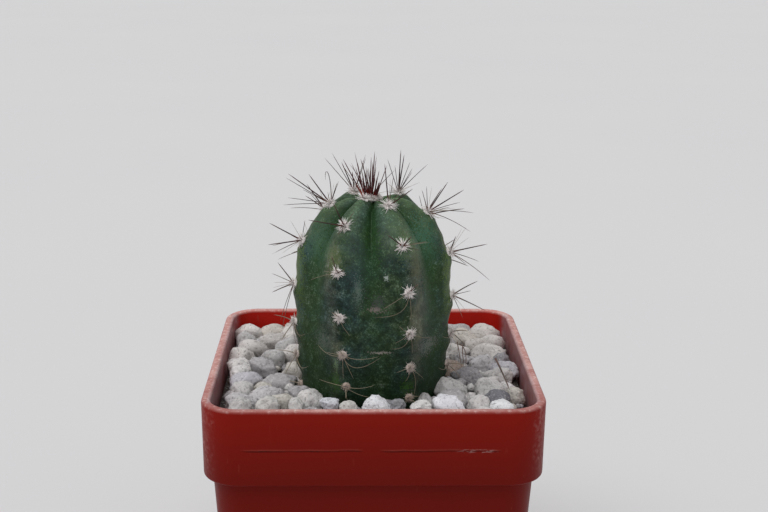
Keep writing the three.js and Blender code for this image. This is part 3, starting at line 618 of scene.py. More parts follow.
def make_epidermis():
    """A waxy cactus skin: dark bluish green and finely mottled, greener in the furrows, yellow
    green on young crests, corky grey-brown beside the old ones with a painted sheen there, darker
    low down with painted shade, painted light on its sides, with dust and pale flecks."""
    material, tree, shader, place = new_material(
        "waxy_epidermis", {"Roughness": 0.52, "IOR": 1.45, "Specular IOR Level": 0.2})
    crest, depth, cork_and_sheen_band = [
        add(tree, "Attribute", {}, "Fac", attribute_name=name)
        for name in ("crest", "from_apex", "cork")]
    height = add(tree, "SeparateXYZ", {"Vector": place}, "Z")
    cloud, mottle, fine = [
        add(
            tree, "TexNoise",
            {"Vector": place, "Scale": spots / MM, "Detail": detail, "Roughness": roughness})
        for spots, detail, roughness in ((0.15, 5, 0.6), (0.7, 6, 0.75), (3.6, 2, 0.6))]
    ragged_band = add(tree, "Math", {0: mottle, 1: 2.4, 2: cork_and_sheen_band}, operation="MULTIPLY_ADD")

    # Each mask goes from its first share to its second between two values of what it reads: a
    # pattern, the place across a rib, the distance from the apex or the height.
    masks = {}
    for name, value, start, end, low, high in (
            ("bluish", cloud, 0.42, 0.58, 0, 1), ("pale", mottle, 0.34, 0.68, 0, 1),
            ("in_furrow", crest, 0.5, 0.16, 0, 0.85), ("upper", depth, 30, 12, 0.3, 1),
            ("on_crest", crest, 0.2, 0.95, 0, 1), ("young", depth, 17, 3, 0, 0.7),
            ("cork", ragged_band, 1.45, 2.2, 0, 0.6), ("patchy", cloud, 0.4, 0.56, 0.35, 1),
            ("aged", depth, 8, 16, 0, 1), ("not_low", height, 49 * MM, 54 * MM, 0.2, 1),
            ("low", height, 58 * MM, 47.5 * MM, 0, 0.75), ("dust", cloud, 0.55, 0.7, 0, 0.35),
            ("dust_grain", mottle, 0.45, 0.65, 0, 1), ("below_crown", depth, 6, 14, 0, 1),
            ("specks", fine, 0.54, 0.66, 0, 0.18), ("speck_place", mottle, 0.46, 0.62, 0, 1),
            ("grain", fine, 0.38, 0.62, 0.72, 1.24), ("crackle", mottle, 0.36, 0.64, 0.8, 1.2),
            ("flecks", fine, 0.69, 0.75, 0, 0.4), ("fleck_place", cloud, 0.56, 0.64, 0, 1)):
        masks[name] = add(
            tree, "MapRange",
            {"Value": value, "From Min": start, "From Max": end, "To Min": low, "To Max": high})
    dark, pale = [
        lay_tints(tree, linear(blue), [([masks["bluish"]], green)])
        for blue, green in (("#192a28", "#1d2f19"), ("#38514c", "#3b5234"))]
    colour = add(
        tree, "Mix", {FACTOR: masks["pale"], COLOUR_A: dark, COLOUR_B: pale}, MIXED,
        data_type="RGBA")
    # Among these tints, the low mask is painted shade that darkens the stem towards the gravel, and the
    # corky band also stands for a painted sheen.
    colour = lay_tints(tree, colour, [([masks[part] for part in parts.split()], tint) for parts, tint in (
        ("in_furrow upper", "#294821"), ("young on_crest", "#67835a"), ("low", "#183113"),
        ("cork aged patchy not_low", "#737260"), ("specks speck_place", "#8ea59b"),
        ("dust dust_grain below_crown", "#8b938a"))])

    # Patches of another tint, ragged like the mottling: painted sunlight on the upper sides, a painted sheen
    # along the left and right edges, darker patches, dust and old scrapes.
    frayed, grainy = [
        add(
            tree, "MapRange",
            {"Value": pattern, "From Min": start, "From Max": 1 - start, "To Min": -reach,
             "To Max": reach}, clamp=False)
        for pattern, start, reach in ((mottle, 0.36, 0.45), (fine, 0.4, 0.7))]
    uneven = add(tree, "Math", {0: frayed, 1: grainy}, operation="ADD")
    for centre, size, tint, strength in PATCHES_AND_PAINTED_LIGHT:
        away = add(
            tree, "Mapping",
            {"Vector": place, "Location": Vector(centre) * MM, "Scale": Vector(size) * MM},
            vector_type="TEXTURE")
        reach = add(tree, "VectorMath", {0: away}, "Value", operation="LENGTH")
        ragged = add(tree, "Math", {0: reach, 1: uneven}, operation="ADD")
        share = add(
            tree, "MapRange",
            {"Value": ragged, "From Min": 1.2, "From Max": 0.5, "To Max": strength})
        colour = lay_tints(tree, colour, [([share], tint)])

    # Over all of it lie the skin's own fine grain and a few white mineral flecks.
    for name in ("grain", "crackle"):
        colour = add(tree, "VectorMath", {0: colour, 1: masks[name]}, operation="MULTIPLY")
    colour = lay_tints(tree, colour, [([masks["flecks"], masks["fleck_place"]], "#cdd6d0")])
    finish_surface(tree, shader, colour, [(mottle, 0.45, 0.25, False), (fine, 0.35, 0.08, False)])
    return material


def make_stem():
    """The crest line turned round its middle, then each point moved to its place between ribs."""
    bm = bmesh.new()
    from_apex = bm.verts.layers.float.new("from_apex")
    ground = distance_at_height(GROUND_HEIGHT) + GROUND_OVERLAP
    distances = [i * STEM_RING_STEP for i in range(int(ground / STEM_RING_STEP))]
    distances += [ground + (CREST_LENGTH - ground) * i / BURIED_RINGS for i in range(BURIED_RINGS + 1)]
    chain = []
    for distance in distances:
        crest = crest_at(distance)
        vert = bm.verts.new((0, -crest.x, crest.y))
        vert[from_apex] = distance
        chain.append(vert)
    spine_edges = [bm.edges.new(pair) for pair in zip(chain, chain[1:])]
    bmesh.ops.spin(
        bm, geom=chain + spine_edges, axis=(0, 0, 1), cent=(0, 0, 0), dvec=(0, 0, 0),
        angle=2 * math.pi, steps=RIB_COUNT * SIDES_PER_RIB, use_merge=True)
    bmesh.ops.remove_doubles(bm, verts=bm.verts, dist=SAME_PLACE)
    crest_layer = bm.verts.layers.float.new("crest")
    cork_and_sheen_layer = bm.verts.layers.float.new("cork")
    for vert in bm.verts:
        distance = vert[from_apex]
        turn = math.atan2(vert.co.x, -vert.co.y) % (2 * math.pi)
        rib_position = turn / (2 * math.pi) * RIB_COUNT
        lower = math.floor(rib_position + ROUNDING_ROOM)
        share = rib_position - lower
        angle = rib_angle(lower, vert.co.z) * (1 - share) + rib_angle(lower + 1, vert.co.z) * share
        radius, height = skin_at(rib_position, distance)
        if abs(vert.co.x) + abs(vert.co.y) < SAME_PLACE:
            radius = 0
        skin = STEM_CENTRE + Vector((radius * math.sin(angle), -radius * math.cos(angle), height))
        outward = Vector((math.sin(angle), -math.cos(angle), 0))
        relief = COARSE_RELIEF * noise.noise(skin / COARSE_LENGTH)
        relief += FINE_RELIEF * noise.noise(skin / FINE_LENGTH)
        vert.co = skin + outward * relief * min(1, radius / BUMP_RADIUS)
        vert[crest_layer] = 1 - 2 * abs(rib_position - round(rib_position))
        # A band of corky skin with a painted sheen beside each crest.
        rib = round(rib_position)
        off_band = (rib_position - rib - CORK_AND_SHEEN_SIDES[rib % RIB_COUNT]) / CORK_AND_SHEEN_WIDTH
        vert[cork_and_sheen_layer] = math.exp(-(off_band ** 2))
    bmesh.ops.recalc_face_normals(bm, faces=bm.faces)
    return finish_piece("ribbed_stem", bm, [make_epidermis()], ["stem"])


areoles = find_areoles()
make_stem()

# The areoles
# Each is a cushion of short woolly bristles on a rib's crest, with a fan of spines: dark and
# straight on young rows, thin, pale and curled over the skin on old ones. Here and in the
# crown, a pair of values is the least and the most of a seeded draw.
WOOL_RADIUS = 0.68
WOOL_HEIGHT = 0.38
WOOL_LUMPS = 0.2
LUMPS_PER_MM = 2.5
WOOL_DETAIL = 2
BRISTLE_COUNT = 130
GOLDEN_TURN = 0.382
TURN_PLAY = 0.1
BRISTLE_LEANS = (10, 92)
BRISTLE_SHARES = (0.45, 1.05)
UPRIGHT_SHARE = 0.65
BRISTLE_SEAT = 0.15
BRISTLE_START = 0.2
BRISTLE_DROOP = 0.3
BRISTLE_WIDTHS = (0.7, 1.15)
BRISTLE_LENGTHS = [1.7, 1.6, 1.3, 1.2, 1.05, 0.9]
BRISTLE_RADIUS = 0.052
SPINE_RADIUS = 0.13
THIN_SPINE_RADIUS = 0.075
HAIR_RADIUS = 0.052
PALE_HAIR_RADIUS = 0.036
ROOT_HEIGHT = 0.25
CENTRAL_SPINES = 2
LEAN_PLAY = 3
CLOCK_PLAY = 5
LENGTH_PLAY = (0.95, 1.05)
AGE_THINNING = 0.4
AGE_PLAY = 0.3
HAIR_AGE = 0.6
HAIR_LIFTS = [0.75, 0.2]
PALE_HAIR_LEANS = (30, 70)
PALE_HAIR_LENGTHS = (3, 5.5)
PALE_HAIR_SAG = 0.3
SKIN_CURVE = 12.5
OLD_ROW = 3
SEEDS_PER_RIB = 100
WOOL_AGES = [0.0, 0.0, 0.05, 0.2, 0.65, 0.9]
SPINE_AGES = [0.0, 0.05, 0.2, 0.6, 0.85, 1.0]
PALE_HAIRS = [4, 3, 2, 1, 0, 0]
FRONT_RIBS = [0, 1]
FRONT_THINNING = 3
CROWN_AREOLE = (0, 0)
HOOKED_AREOLE = (6, 0)

# A spine is its lean from the skin's normal, its direction round the areole clockwise from
# straight up, both in degrees, then its length and how far its tip sags, in millimetres.
YOUNG_SPINES = [
    (20, -20, 7.5, 0), (25, 40, 6.5, 0), (35, -105, 7.5, 0.4), (30, 110, 8, 0.4),
    (15, 170, 6, 0), (45, 10, 4.5, 0), (45, 170, 6.5, 0.6)]
MIDDLE_SPINES = [
    (12, 25, 6, 0), (30, -140, 7.5, 0.6), (50, 55, 4.5, 0.2), (38, 115, 6.5, 1), (45, -75, 5, 0.8)]
OLD_SPINES = [(35, -40, 4, 0.8), (45, 140, 3.5, 0.8)]
FRONT_SPINES = {
    (0, 0): [(31, -106, 7.3, 0), (19, -95, 6, 0), (30, -106, 4.7, 0), (17, -91, 7.8, 0), (40, -145, 7, 0.3)],
    (1, 0): [
        (39, 3, 6.6, 0), (49, 86, 5, 0), (79, -48, 3.1, 0), (36, 20, 5, 0), (60, 60, 3.5, 0)],
    (2, 0): [
        (15, -25, 6.5, 0), (15, -150, 7.5, 0), (35, -160, 8.5, 1.2), (55, -160, 8, 1.8),
        (58, -10, 4, 0), (45, 0, 4.5, 0), (30, 150, 6, 0.4)],
    (3, 0): [
        (20, -20, 7.5, 0), (20, -45, 7, 0), (35, -105, 7.5, 0.3), (30, -95, 4.5, 0),
        (25, 0, 5, 0), (35, 15, 6, 0), (30, 110, 7, 0.3), (30, -60, 6.5, 0), (28, -35, 4, 0),
        (35, -75, 5.5, 0)],
    (5, 0): [
        (24, 173, 5.4, 0), (14, -148, 3.6, 0), (41, 156, 7.9, 0), (31, 164, 7.3, 0),
        (20, -30, 6.5, 0), (35, -100, 7, 0.3)],
    (6, 0): [
        (30, -134, 8.2, 0), (21, -92, 6, 0), (36, -143, 8.2, 0), (53, -158, 7.4, 0.2),
        (61, -163, 7.6, 0.5), (56, -9, 4.1, 0), (53, -11, 3.5, 0), (34, -140, 5.3, 0)],
    (0, 1): [(10, 25, 6, 0), (30, -140, 8, 0), (45, 60, 4, 0), (50, 175, 3, 0.3)],
    (1, 1): [(15, 25, 3, 0), (55, -60, 4.5, 0), (15, 125, 6.5, 0.2), (55, 120, 3, 0.2)],
    (2, 1): [
        (10, -70, 6.5, 0), (55, -5, 3, 0), (40, -145, 8.5, 1.4), (45, -150, 3.5, 0.3),
        (30, 150, 5, 0.6)],
    (6, 1): [
        (10, 25, 6.5, 0), (25, 155, 6, 0), (40, 160, 5, 0.4), (75, 10, 3.5, 0), (35, -150, 5, 0.4)],
    (0, 2): [(40, 5, 4.5, 0), (60, 60, 2.5, 0.3)],
    (1, 2): [(60, 30, 2.5, 0.3)],
    (2, 2): [(40, -10, 5.5, 0.6), (25, -125, 6.5, 0.3), (60, -145, 4, 0.5), (20, -25, 3.5, 0)],
    (6, 2): [
        (55, 0, 4.5, 0), (20, 135, 4, 0.3), (60, 150, 5, 2), (70, 165, 5.5, 2.4), (30, 20, 4.5, 0.2)],
    (0, 3): [(50, -30, 2, 0.2)],
    (1, 3): [(45, -60, 2.2, 0.2)],
    (0, 4): [(50, 10, 2, 0.2)],
    (1, 4): [(45, -60, 2, 0.2)],
    (0, 5): [(30, 140, 2.5, 0.2)],
    (1, 5): [(40, 120, 2.5, 0.3)]}
HOOKED_SPINE_AGE = 0.1
HOOKED_SPINE = [(0, 0, 0), (0.1, 0, 2.4), (-0.1, 0, 5.2), (-0.6, 0, 6.9), (-1.2, 0, 5.7), (-0.9, 0, 4.2)]

# A hair lies on the skin, so it has two places, up and across from its areole: one that pulls
# it round, and its tip.
OLD_HAIRS = [
    ((-0.9, -2.4), (0.7, -4.6)), ((-2.8, 1.6), (-0.6, 5.2)), ((-1.8, 0.2), (-3.8, 0)),
    ((-0.8, 1.8), (-2, 3.2))]
FRONT_HAIRS = {
    (0, 2): [((-0.6, -2.6), (-2, -5.8)), ((0, -1), (0, -2.6))],
    (1, 2): [((-4.2, -0.2), (-3.6, -5.8)), ((-2.4, 0.3), (-5, 0.3)), ((-0.8, -2), (-2.4, -4.4))],
    (0, 3): [((-1.3, 0.7), (-2.9, 1.9))],
    (1, 3): [
        ((-2.6, -0.6), (-2.3, -3.2)), ((0.6, -1.2), (1.6, -2)), ((-1.5, 0.3), (-3.6, 0.5)),
        ((-1, 2), (-1.6, 4.6)), ((-0.6, -1.4), (-1.4, -2.6))],
    (0, 4): [
        ((-0.9, -2.4), (0.9, -4.9)), ((-3.8, 1.6), (-0.2, 6.2)), ((-0.9, 2.5), (0, 6)),
        ((-2, 0.2), (-4.2, 0)), ((-1.6, 1), (-4, 1.8)), ((0.2, -1.8), (0, -3))],
    (1, 4): [
        ((-1.2, -0.2), (-2.4, -0.8)), ((-1.8, 1.6), (-5.6, 0.9)), ((-1.1, 1.4), (-2.6, 3)),
        ((0.2, -1), (-0.6, -2.4))],
    (0, 5): [
        ((0.3, -2.6), (0.1, -5.4)), ((-1.6, 2), (-2.2, 6.4)), ((-1.2, 0.1), (-3, 0.2)),
        ((-0.3, 2.4), (0.5, 4.8))],
    (1, 5): [((-0.6, -1.4), (-1.6, -2.4)), ((0.5, 1.4), (-0.6, 3))]}


def make_felt():
    """Areole wool: stiff matted plant hairs, white when young and weathered to tan, darkened
    with painted shade where they root."""
    material, tree, shader, place = new_material(
        "areole_felt", {"Roughness": 0.9, "Specular IOR Level": 0.2, "Sheen Weight": 0.3})
    age = add(tree, "Attribute", {}, "Fac", attribute_name="age")
    along = add(tree, "Attribute", {}, "Fac", attribute_name="along")
    fibre = add(tree, "TexNoise", {"Vector": place, "Scale": 1.8 / MM, "Detail": 3})
    fibrous = add(
        tree, "MapRange",
        {"Value": fibre, "From Min": 0.4, "From Max": 0.65, "To Max": 0.15})
    root_painted_shade = add(tree, "MapRange", {"Value": along, "From Min": 0.3, "From Max": 0, "To Max": 0.3})
    colour = lay_tints(tree, linear("#fffaf8"), [
        ([age], "#c4b2a2"), ([fibrous], "#d3c0b8"), ([root_painted_shade], "#7d685f")])
    finish_surface(tree, shader, colour, [])
    return material


def make_spine_fibre(name, root_colour, shaft_colour, tip_colour):
    """Spines are hard, smooth fibre with a warm root, a dark shaft and a thin clear tip, and
    straw-coloured once they are old."""
    material, tree, shader, _ = new_material(name, {"Roughness": 0.42, "Specular IOR Level": 0.35})
    age = add(tree, "Attribute", {}, "Fac", attribute_name="age")
    along = add(tree, "Attribute", {}, "Fac", attribute_name="along")
    above_root = add(tree, "MapRange", {"Value": along, "From Min": 0.05, "From Max": 0.4})
    towards_tip = add(tree, "MapRange", {"Value": along, "From Min": 0.55, "From Max": 1})
    colour = lay_tints(tree, linear(root_colour), [
        ([above_root], shaft_colour), ([towards_tip], tip_colour), ([age], "#a1957f")])
    finish_surface(tree, shader, colour, [])
    return material


def new_tuft():
    """An empty mesh that carries each point's age and place along its hair."""
    bm = bmesh.new()
    for layer in ("age", "along"):
        bm.verts.layers.float.new(layer)
    return bm


def make_blank(name, sides, cuts, taper, tip):
    """A straight tapered needle of unit length and radius, which each spine is bent from."""
    bm = new_tuft()
    bmesh.ops.create_cone(
        bm, cap_ends=True, segments=sides, radius1=1, radius2=taper, depth=1,
        matrix=Matrix.Translation((0, 0, 0.5)))
    long_edges = [e for e in bm.edges if abs(e.verts[0].co.z - e.verts[1].co.z) > 0.5]
    bmesh.ops.subdivide_edges(bm, edges=long_edges, cuts=cuts)
    point = [vert for vert in bm.verts if vert.co.z > 1 - SAME_PLACE]
    bmesh.ops.scale(bm, vec=(tip / taper, tip / taper, 1), verts=point)
    return new_mesh(name, bm)


spine_blank = make_blank("spine_blank", sides=5, cuts=7, taper=0.5, tip=0.1)
bristle_blank = make_blank("bristle_blank", sides=3, cuts=1, taper=0.75, tip=0.35)


def bend_along(points, share):
    """Place and heading on the smooth curve that its first and last points end and the ones
    between pull on."""
    while len(points) > 2:
        points = [a.lerp(b, share) for a, b in zip(points, points[1:])]
    return points[0].lerp(points[1], share), (points[1] - points[0]).normalized()


def grow_needle(bm, blank, points, radius, age, material_index):
    """Bends a blank along the curve of some points, root first."""
    known_verts = len(bm.verts)
    known_faces = len(bm.faces)
    bm.from_mesh(blank)
    bm.verts.ensure_lookup_table()
    bm.faces.ensure_lookup_table()
    age_layer = bm.verts.layers.float["age"]
    along_layer = bm.verts.layers.float["along"]
    start = bend_along(points, 0)[1]
    sideways = start.orthogonal().normalized()
    for vert in bm.verts[known_verts:]:
        share = vert.co.z
        centre, heading = bend_along(points, share)
        bend = start.rotation_difference(heading)
        x_axis = bend @ sideways
        y_axis = bend @ start.cross(sideways)
        vert.co = centre + (x_axis * vert.co.x + y_axis * vert.co.y) * radius
        vert[age_layer] = age
        vert[along_layer] = share
    for face in bm.faces[known_faces:]:
        face.material_index = material_index


def aim_at(areole, lean, clock):
    """The direction that leans away from an areole's normal, towards a clock angle round it."""
    flat = areole["upward"] * math.cos(clock) + areole["across"] * math.sin(clock)
    return areole["normal"] * math.cos(lean) + flat * math.sin(lean)


def grow_wool(bm, areole, age, bristle_length, draw, scale=1.0):
    """A low felted dome with a star of short bristles over it."""
    known = len(bm.verts)
    turn = Vector((0, 0, 1)).rotation_difference(areole["normal"]).to_matrix().to_4x4()
    shape = Matrix.Diagonal((WOOL_RADIUS * scale, WOOL_RADIUS * scale, WOOL_HEIGHT * scale, 1))
    bmesh.ops.create_icosphere(
        bm, subdivisions=WOOL_DETAIL, radius=1, matrix=Matrix.Translation(areole["centre"]) @ turn @ shape)
    bm.verts.ensure_lookup_table()
    age_layer = bm.verts.layers.float["age"]
    along_layer = bm.verts.layers.float["along"]
    for vert in bm.verts[known:]:
        vert[age_layer] = age
        vert[along_layer] = 1
        vert.co += areole["normal"] * WOOL_LUMPS * noise.noise(vert.co * LUMPS_PER_MM)
    for i in range(round(BRISTLE_COUNT * scale)):
        clock = (i * GOLDEN_TURN + TURN_PLAY * draw.random()) * 2 * math.pi
        lean = math.radians(draw.uniform(*BRISTLE_LEANS))
        aim = aim_at(areole, lean, clock)
        length = bristle_length * draw.uniform(*BRISTLE_SHARES)
        length *= UPRIGHT_SHARE + (1 - UPRIGHT_SHARE) * math.sin(lean)
        base = areole["centre"] + areole["normal"] * BRISTLE_SEAT + aim * BRISTLE_START
        middle = base + aim * length / 2
        tip = base + aim * length - areole["normal"] * draw.uniform(0, BRISTLE_DROOP) * scale
        radius = BRISTLE_RADIUS * draw.uniform(*BRISTLE_WIDTHS)
        grow_needle(bm, bristle_blank, [base, middle, tip], radius, age, 0)


def grow_spine(bm, areole, lean, clock, length, sag, radius, age):
    """One spine, straight or arched down by the sag of its tip."""
    aim = aim_at(areole, math.radians(lean), math.radians(clock))
    base = areole["centre"] + areole["normal"] * ROOT_HEIGHT
    middle = base + aim * length / 2
    tip = base + aim * length - Vector((0, 0, sag))
    grow_needle(bm, spine_blank, [base, middle, tip], radius, age, 1)


def grow_spines(bm, areole, spines, age, draw):
    """The fan of an areole: its stout central spines first, then the thin ones round them."""
    for i, (lean, clock, length, sag) in enumerate(spines):
        thick = SPINE_RADIUS if i < CENTRAL_SPINES else THIN_SPINE_RADIUS
        grow_spine(
            bm, areole, lean + draw.uniform(-LEAN_PLAY, LEAN_PLAY),
            clock + draw.uniform(-CLOCK_PLAY, CLOCK_PLAY), length * draw.uniform(*LENGTH_PLAY), sag,
            thick * (1 - AGE_THINNING * age),
            min(1, age + (0 if i < CENTRAL_SPINES else AGE_PLAY * draw.random())))


def grow_hairs(bm, areole, hairs, age):
    """Old spines gone soft, which curl over the skin from their areole."""
    for places in hairs:
        points = [areole["centre"] + areole["normal"] * ROOT_HEIGHT]
        for lift, (up, side) in zip(HAIR_LIFTS, places):
            around = side / SKIN_CURVE
            outward = areole["normal"] * (lift + SKIN_CURVE * (math.cos(around) - 1))
            across = areole["across"] * SKIN_CURVE * math.sin(around)
            points.append(areole["centre"] + outward + across + areole["upward"] * up)
        grow_needle(bm, spine_blank, points, HAIR_RADIUS, age, 1)


felt = make_felt()
spine_fibre = make_spine_fibre("spine_fibre", "#5f2a20", "#2f1518", "#644645")


def grow_areole(bm, areole):
    """The wool, spines and hairs of one areole."""
    rib, row = areole["rib"], areole["row"]
    draw = random.Random(SEEDS_PER_RIB * rib + row)
    plain = YOUNG_SPINES if row == 0 else MIDDLE_SPINES if row < OLD_ROW else OLD_SPINES
    hairs = OLD_HAIRS if row >= OLD_ROW else []
    grow_wool(bm, areole, WOOL_AGES[row], BRISTLE_LENGTHS[row], draw)
    grow_spines(bm, areole, FRONT_SPINES.get((rib, row), plain), SPINE_AGES[row], draw)
    grow_hairs(bm, areole, FRONT_HAIRS.get((rib, row), hairs), max(SPINE_AGES[row], HAIR_AGE))
    for _ in range(PALE_HAIRS[row] // (FRONT_THINNING if rib in FRONT_RIBS else 1)):
        grow_spine(
            bm, areole, draw.uniform(*PALE_HAIR_LEANS), draw.uniform(0, 360),
            draw.uniform(*PALE_HAIR_LENGTHS), PALE_HAIR_SAG, PALE_HAIR_RADIUS, 1)


for rib in range(RIB_COUNT):
    tuft = new_tuft()
    nodes = []
    for areole in areoles:
        if areole["rib"] != rib or (rib, areole["row"]) == CROWN_AREOLE:
            continue
        grow_areole(tuft, areole)
        nodes.append(f"areole_rib{rib + 1}_row{areole['row'] + 1}")
        if (rib, areole["row"]) == HOOKED_AREOLE:
            hook = [areole["centre"] + Vector(offset) for offset in HOOKED_SPINE]
            grow_needle(tuft, spine_blank, hook, THIN_SPINE_RADIUS, HOOKED_SPINE_AGE, 1)
    finish_piece(f"areoles_rib{rib + 1}", tuft, [felt, spine_fibre], nodes)

# The crown
# The growing point: young spines packed upright in loose pinkish wool, orange-red where they
# root, with the youngest areole at their front.
CROWN_SEED = 5
CROWN_SHIFT = -0.6
CROWN_LIFT = 0.3
CROWN_SPINES = 20
CROWN_LENGTH = 7.5
CROWN_LENGTH_SHARES = (0.68, 1.05)
CROWN_TAPER = 1.4
CROWN_LEAN = 25
CROWN_LEAN_SHARES = (0.6, 1.2)
CROWN_CLOCK_PLAY = 40
CROWN_ROOTS = 0.85
CROWN_WIDTHS = (0.5, 0.9)
GOLDEN_ANGLE = math.pi * (3 - math.sqrt(5))
CROWN_STUBS = 34
STUB_ROOTS = (0.2, 1.2)
STUB_LEANS = (3, 26)
STUB_LENGTHS = (1.4, 3.8)
CLUMP_COUNT = 12
CLUMP_BRISTLE = 0.9
CLUMP_ROOTS = (0.3, 1.7)
CLUMP_LIFTS = (-0.1, 0.35)
CLUMP_AGES = (0, 0.4)
CLUMP_SCALES = (0.5, 0.9)
WISP_COUNT = 40
WISP_ROOTS = (0.5, 2.1)
WISP_PULL = ((-0.8, 0.8), (-0.8, 0.8), (0.6, 1.3))
WISP_TIP = ((-1, 1), (-1, 1), (-0.6, 0.2))
WISP_AGES = (0, 0.5)

young_fibre = make_spine_fibre("young_spine_fibre", "#a02b18", "#4a151a", "#6b4848")
crown = new_tuft()
draw = random.Random(CROWN_SEED)
apex = {
    "centre": STEM_CENTRE + Vector((CROWN_SHIFT, 0, CREST_LINE[0][1] + CROWN_LIFT)),
    "normal": Vector((0, 0, 1)), "across": Vector((1, 0, 0)), "upward": Vector((0, 1, 0))}


def spot_on_apex(clock, reach):
    """A place on the growing point, in a clock direction from its middle."""
    outward = Vector((math.sin(clock), math.cos(clock), 0))
    return {**apex, "centre": apex["centre"] + outward * reach}


for i in range(CROWN_SPINES):
    clock = i * GOLDEN_ANGLE
    ring = math.sqrt((i + 0.5) / CROWN_SPINES)
    spot = spot_on_apex(clock, CROWN_ROOTS * ring)
    lean = CROWN_LEAN * ring * draw.uniform(*CROWN_LEAN_SHARES)
    length = (CROWN_LENGTH - CROWN_TAPER * ring) * draw.uniform(*CROWN_LENGTH_SHARES)
    turned = math.degrees(clock) + draw.uniform(-CROWN_CLOCK_PLAY, CROWN_CLOCK_PLAY)
    grow_spine(crown, spot, lean, turned, length, 0, SPINE_RADIUS * draw.uniform(*CROWN_WIDTHS), 0)
for _ in range(CROWN_STUBS):
    clock = draw.uniform(0, 2 * math.pi)
    spot = spot_on_apex(clock, CROWN_ROOTS * draw.uniform(*STUB_ROOTS))
    grow_spine(
        crown, spot, draw.uniform(*STUB_LEANS), math.degrees(clock), draw.uniform(*STUB_LENGTHS), 0,
        SPINE_RADIUS, 0)
for _ in range(CLUMP_COUNT):
    spot = spot_on_apex(draw.uniform(0, 2 * math.pi), draw.uniform(*CLUMP_ROOTS))
    spot["centre"] += Vector((0, 0, draw.uniform(*CLUMP_LIFTS)))
    grow_wool(crown, spot, draw.uniform(*CLUMP_AGES), CLUMP_BRISTLE, draw, draw.uniform(*CLUMP_SCALES))
for _ in range(WISP_COUNT):
    root = spot_on_apex(draw.uniform(0, 2 * math.pi), draw.uniform(*WISP_ROOTS))["centre"]
    pull = root + Vector([draw.uniform(*reach) for reach in WISP_PULL])
    tip = pull + Vector([draw.uniform(*reach) for reach in WISP_TIP])
    grow_needle(crown, bristle_blank, [root, pull, tip], PALE_HAIR_RADIUS, draw.uniform(*WISP_AGES), 0)
grow_areole(crown, areoles[0])
finish_piece("crown_tuft", crown, [felt, young_fibre], ["crown"])

# The gravel
# A top dressing of graded pumice, 3 to 6 mm, poured loose on the compost: subangular pale
# stones with open pores, a few darker ones, and fines in the gaps between them.
BED_TOP = GROUND_HEIGHT
SEAT_GAP = 0.35
BED_GAP = 0.5
BED_PAINTED_SHADE_COLOUR = "#4b4642"
STONE_MIN = 1.6
STONE_MAX = 3.1
STONE_TOP_LIMIT = 48.5
STONE_SEED = 20
SEQUENCE_FACTOR = 1664525
SEQUENCE_STEP = 1013904223
SEQUENCE_LENGTH = 2 ** 32
STONE_TRIES = 2600
STONE_PACKING = 0.8
STONE_MARGIN = 0.8
SMALLEST_SHARE = 0.55
CORNER_ZONE = 5
CORNER_LIMIT = 6.5
AREOLE_CLEARANCE = 1.1

# A stone's shares of its size are each a least value and the room above it.
FLATNESS, FLATNESS_ROOM = 0.62, 0.25
LENGTH, LENGTH_ROOM = 0.95, 0.3
RISE, RISE_ROOM = 0.35, 0.5
STONE_TILT = 0.9
FRONT_STONES = [
    (-7.2, -20.3, 1.6, 49.6), (-4.2, -20.6, 1.5, 48.9), (0.6, -20.4, 2.4, 49.5),
    (3.9, -20.2, 1.4, 49.1), (7.6, -20.6, 1.7, 49), (12, -19.8, 2.6, 49.7),
    (20.8, -20.2, 2, 49.1), (-12.4, -20.4, 1.8, 49), (-16.8, -19.6, 2.2, 49.1),
    (-21.4, -20, 2, 49.2)]
STONE_WEAR = 15
WEAR_SOFTNESS = 0.35
STONE_PLUMPNESS = 1.15
FACET_COUNTS = (8, 12)
FACET_DEPTHS = (0.68, 1)
LARGEST_BULGE = 1.04
STONE_LUMPS = [(0.13, 1.5), (0.12, 3.2), (0.065, 7)]
NOISE_REACH = 50
STONE_DETAIL = 4
BACK_DETAIL = 3
FINE_DETAIL = 1
COLOUR_SEED = 31
BACK_LINE = 6
STONE_COLOURS = [
    "#d8d5d3", "#ccc9cb", "#e2dfdd", "#c3c0c1", "#cfcac2", "#c8c6cc", "#e6e3e2", "#b5b2b4",
    "#d3d0cf", "#a19ea1"]
BACK_COLOURS = ["#e2ddd9", "#d6d0cb", "#dedad7", "#c8c3bf", "#d2cbc3", "#c2bfbf"]
FRONT_COLOURS = [
    "#dfe1e8", "#d8d6d2", "#f6f7fb", "#9b9ca0", "#f1f0ee", "#f6f6fb", "#eef0f2", "#d0cecb",
    "#d6d4d0", "#cccac8"]
STONE_ACCENTS = [
    ((-9.5, -8), "#f3f3f7"), ((8.5, -17.6), "#7c7c85"), ((-12, -17.4), "#77787f"),
    ((14.8, 1), "#b3a196"), ((14, -3), "#b8a89d"), ((17.8, -15.5), "#7e7e84")]


def make_random(seed):
    """The same plain number sequence that the stones' solids are placed by."""
    state = seed
    while True:
        state = (state * SEQUENCE_FACTOR + SEQUENCE_STEP) % SEQUENCE_LENGTH
        yield state / SEQUENCE_LENGTH


stem_edge = crest_at(distance_at_height(BED_TOP)).x


def lies_in_bed(x, y, clearance, edge):
    """Whether a stone's middle is clear of the stem and out of the bed's corners."""
    from_stem = math.hypot(x - STEM_CENTRE.x, y - STEM_CENTRE.y)
    inward = edge - CORNER_ZONE
    reach = max(0, abs(x) - inward) + max(0, abs(y) - inward)
    return from_stem > stem_edge + clearance and reach < CORNER_LIMIT


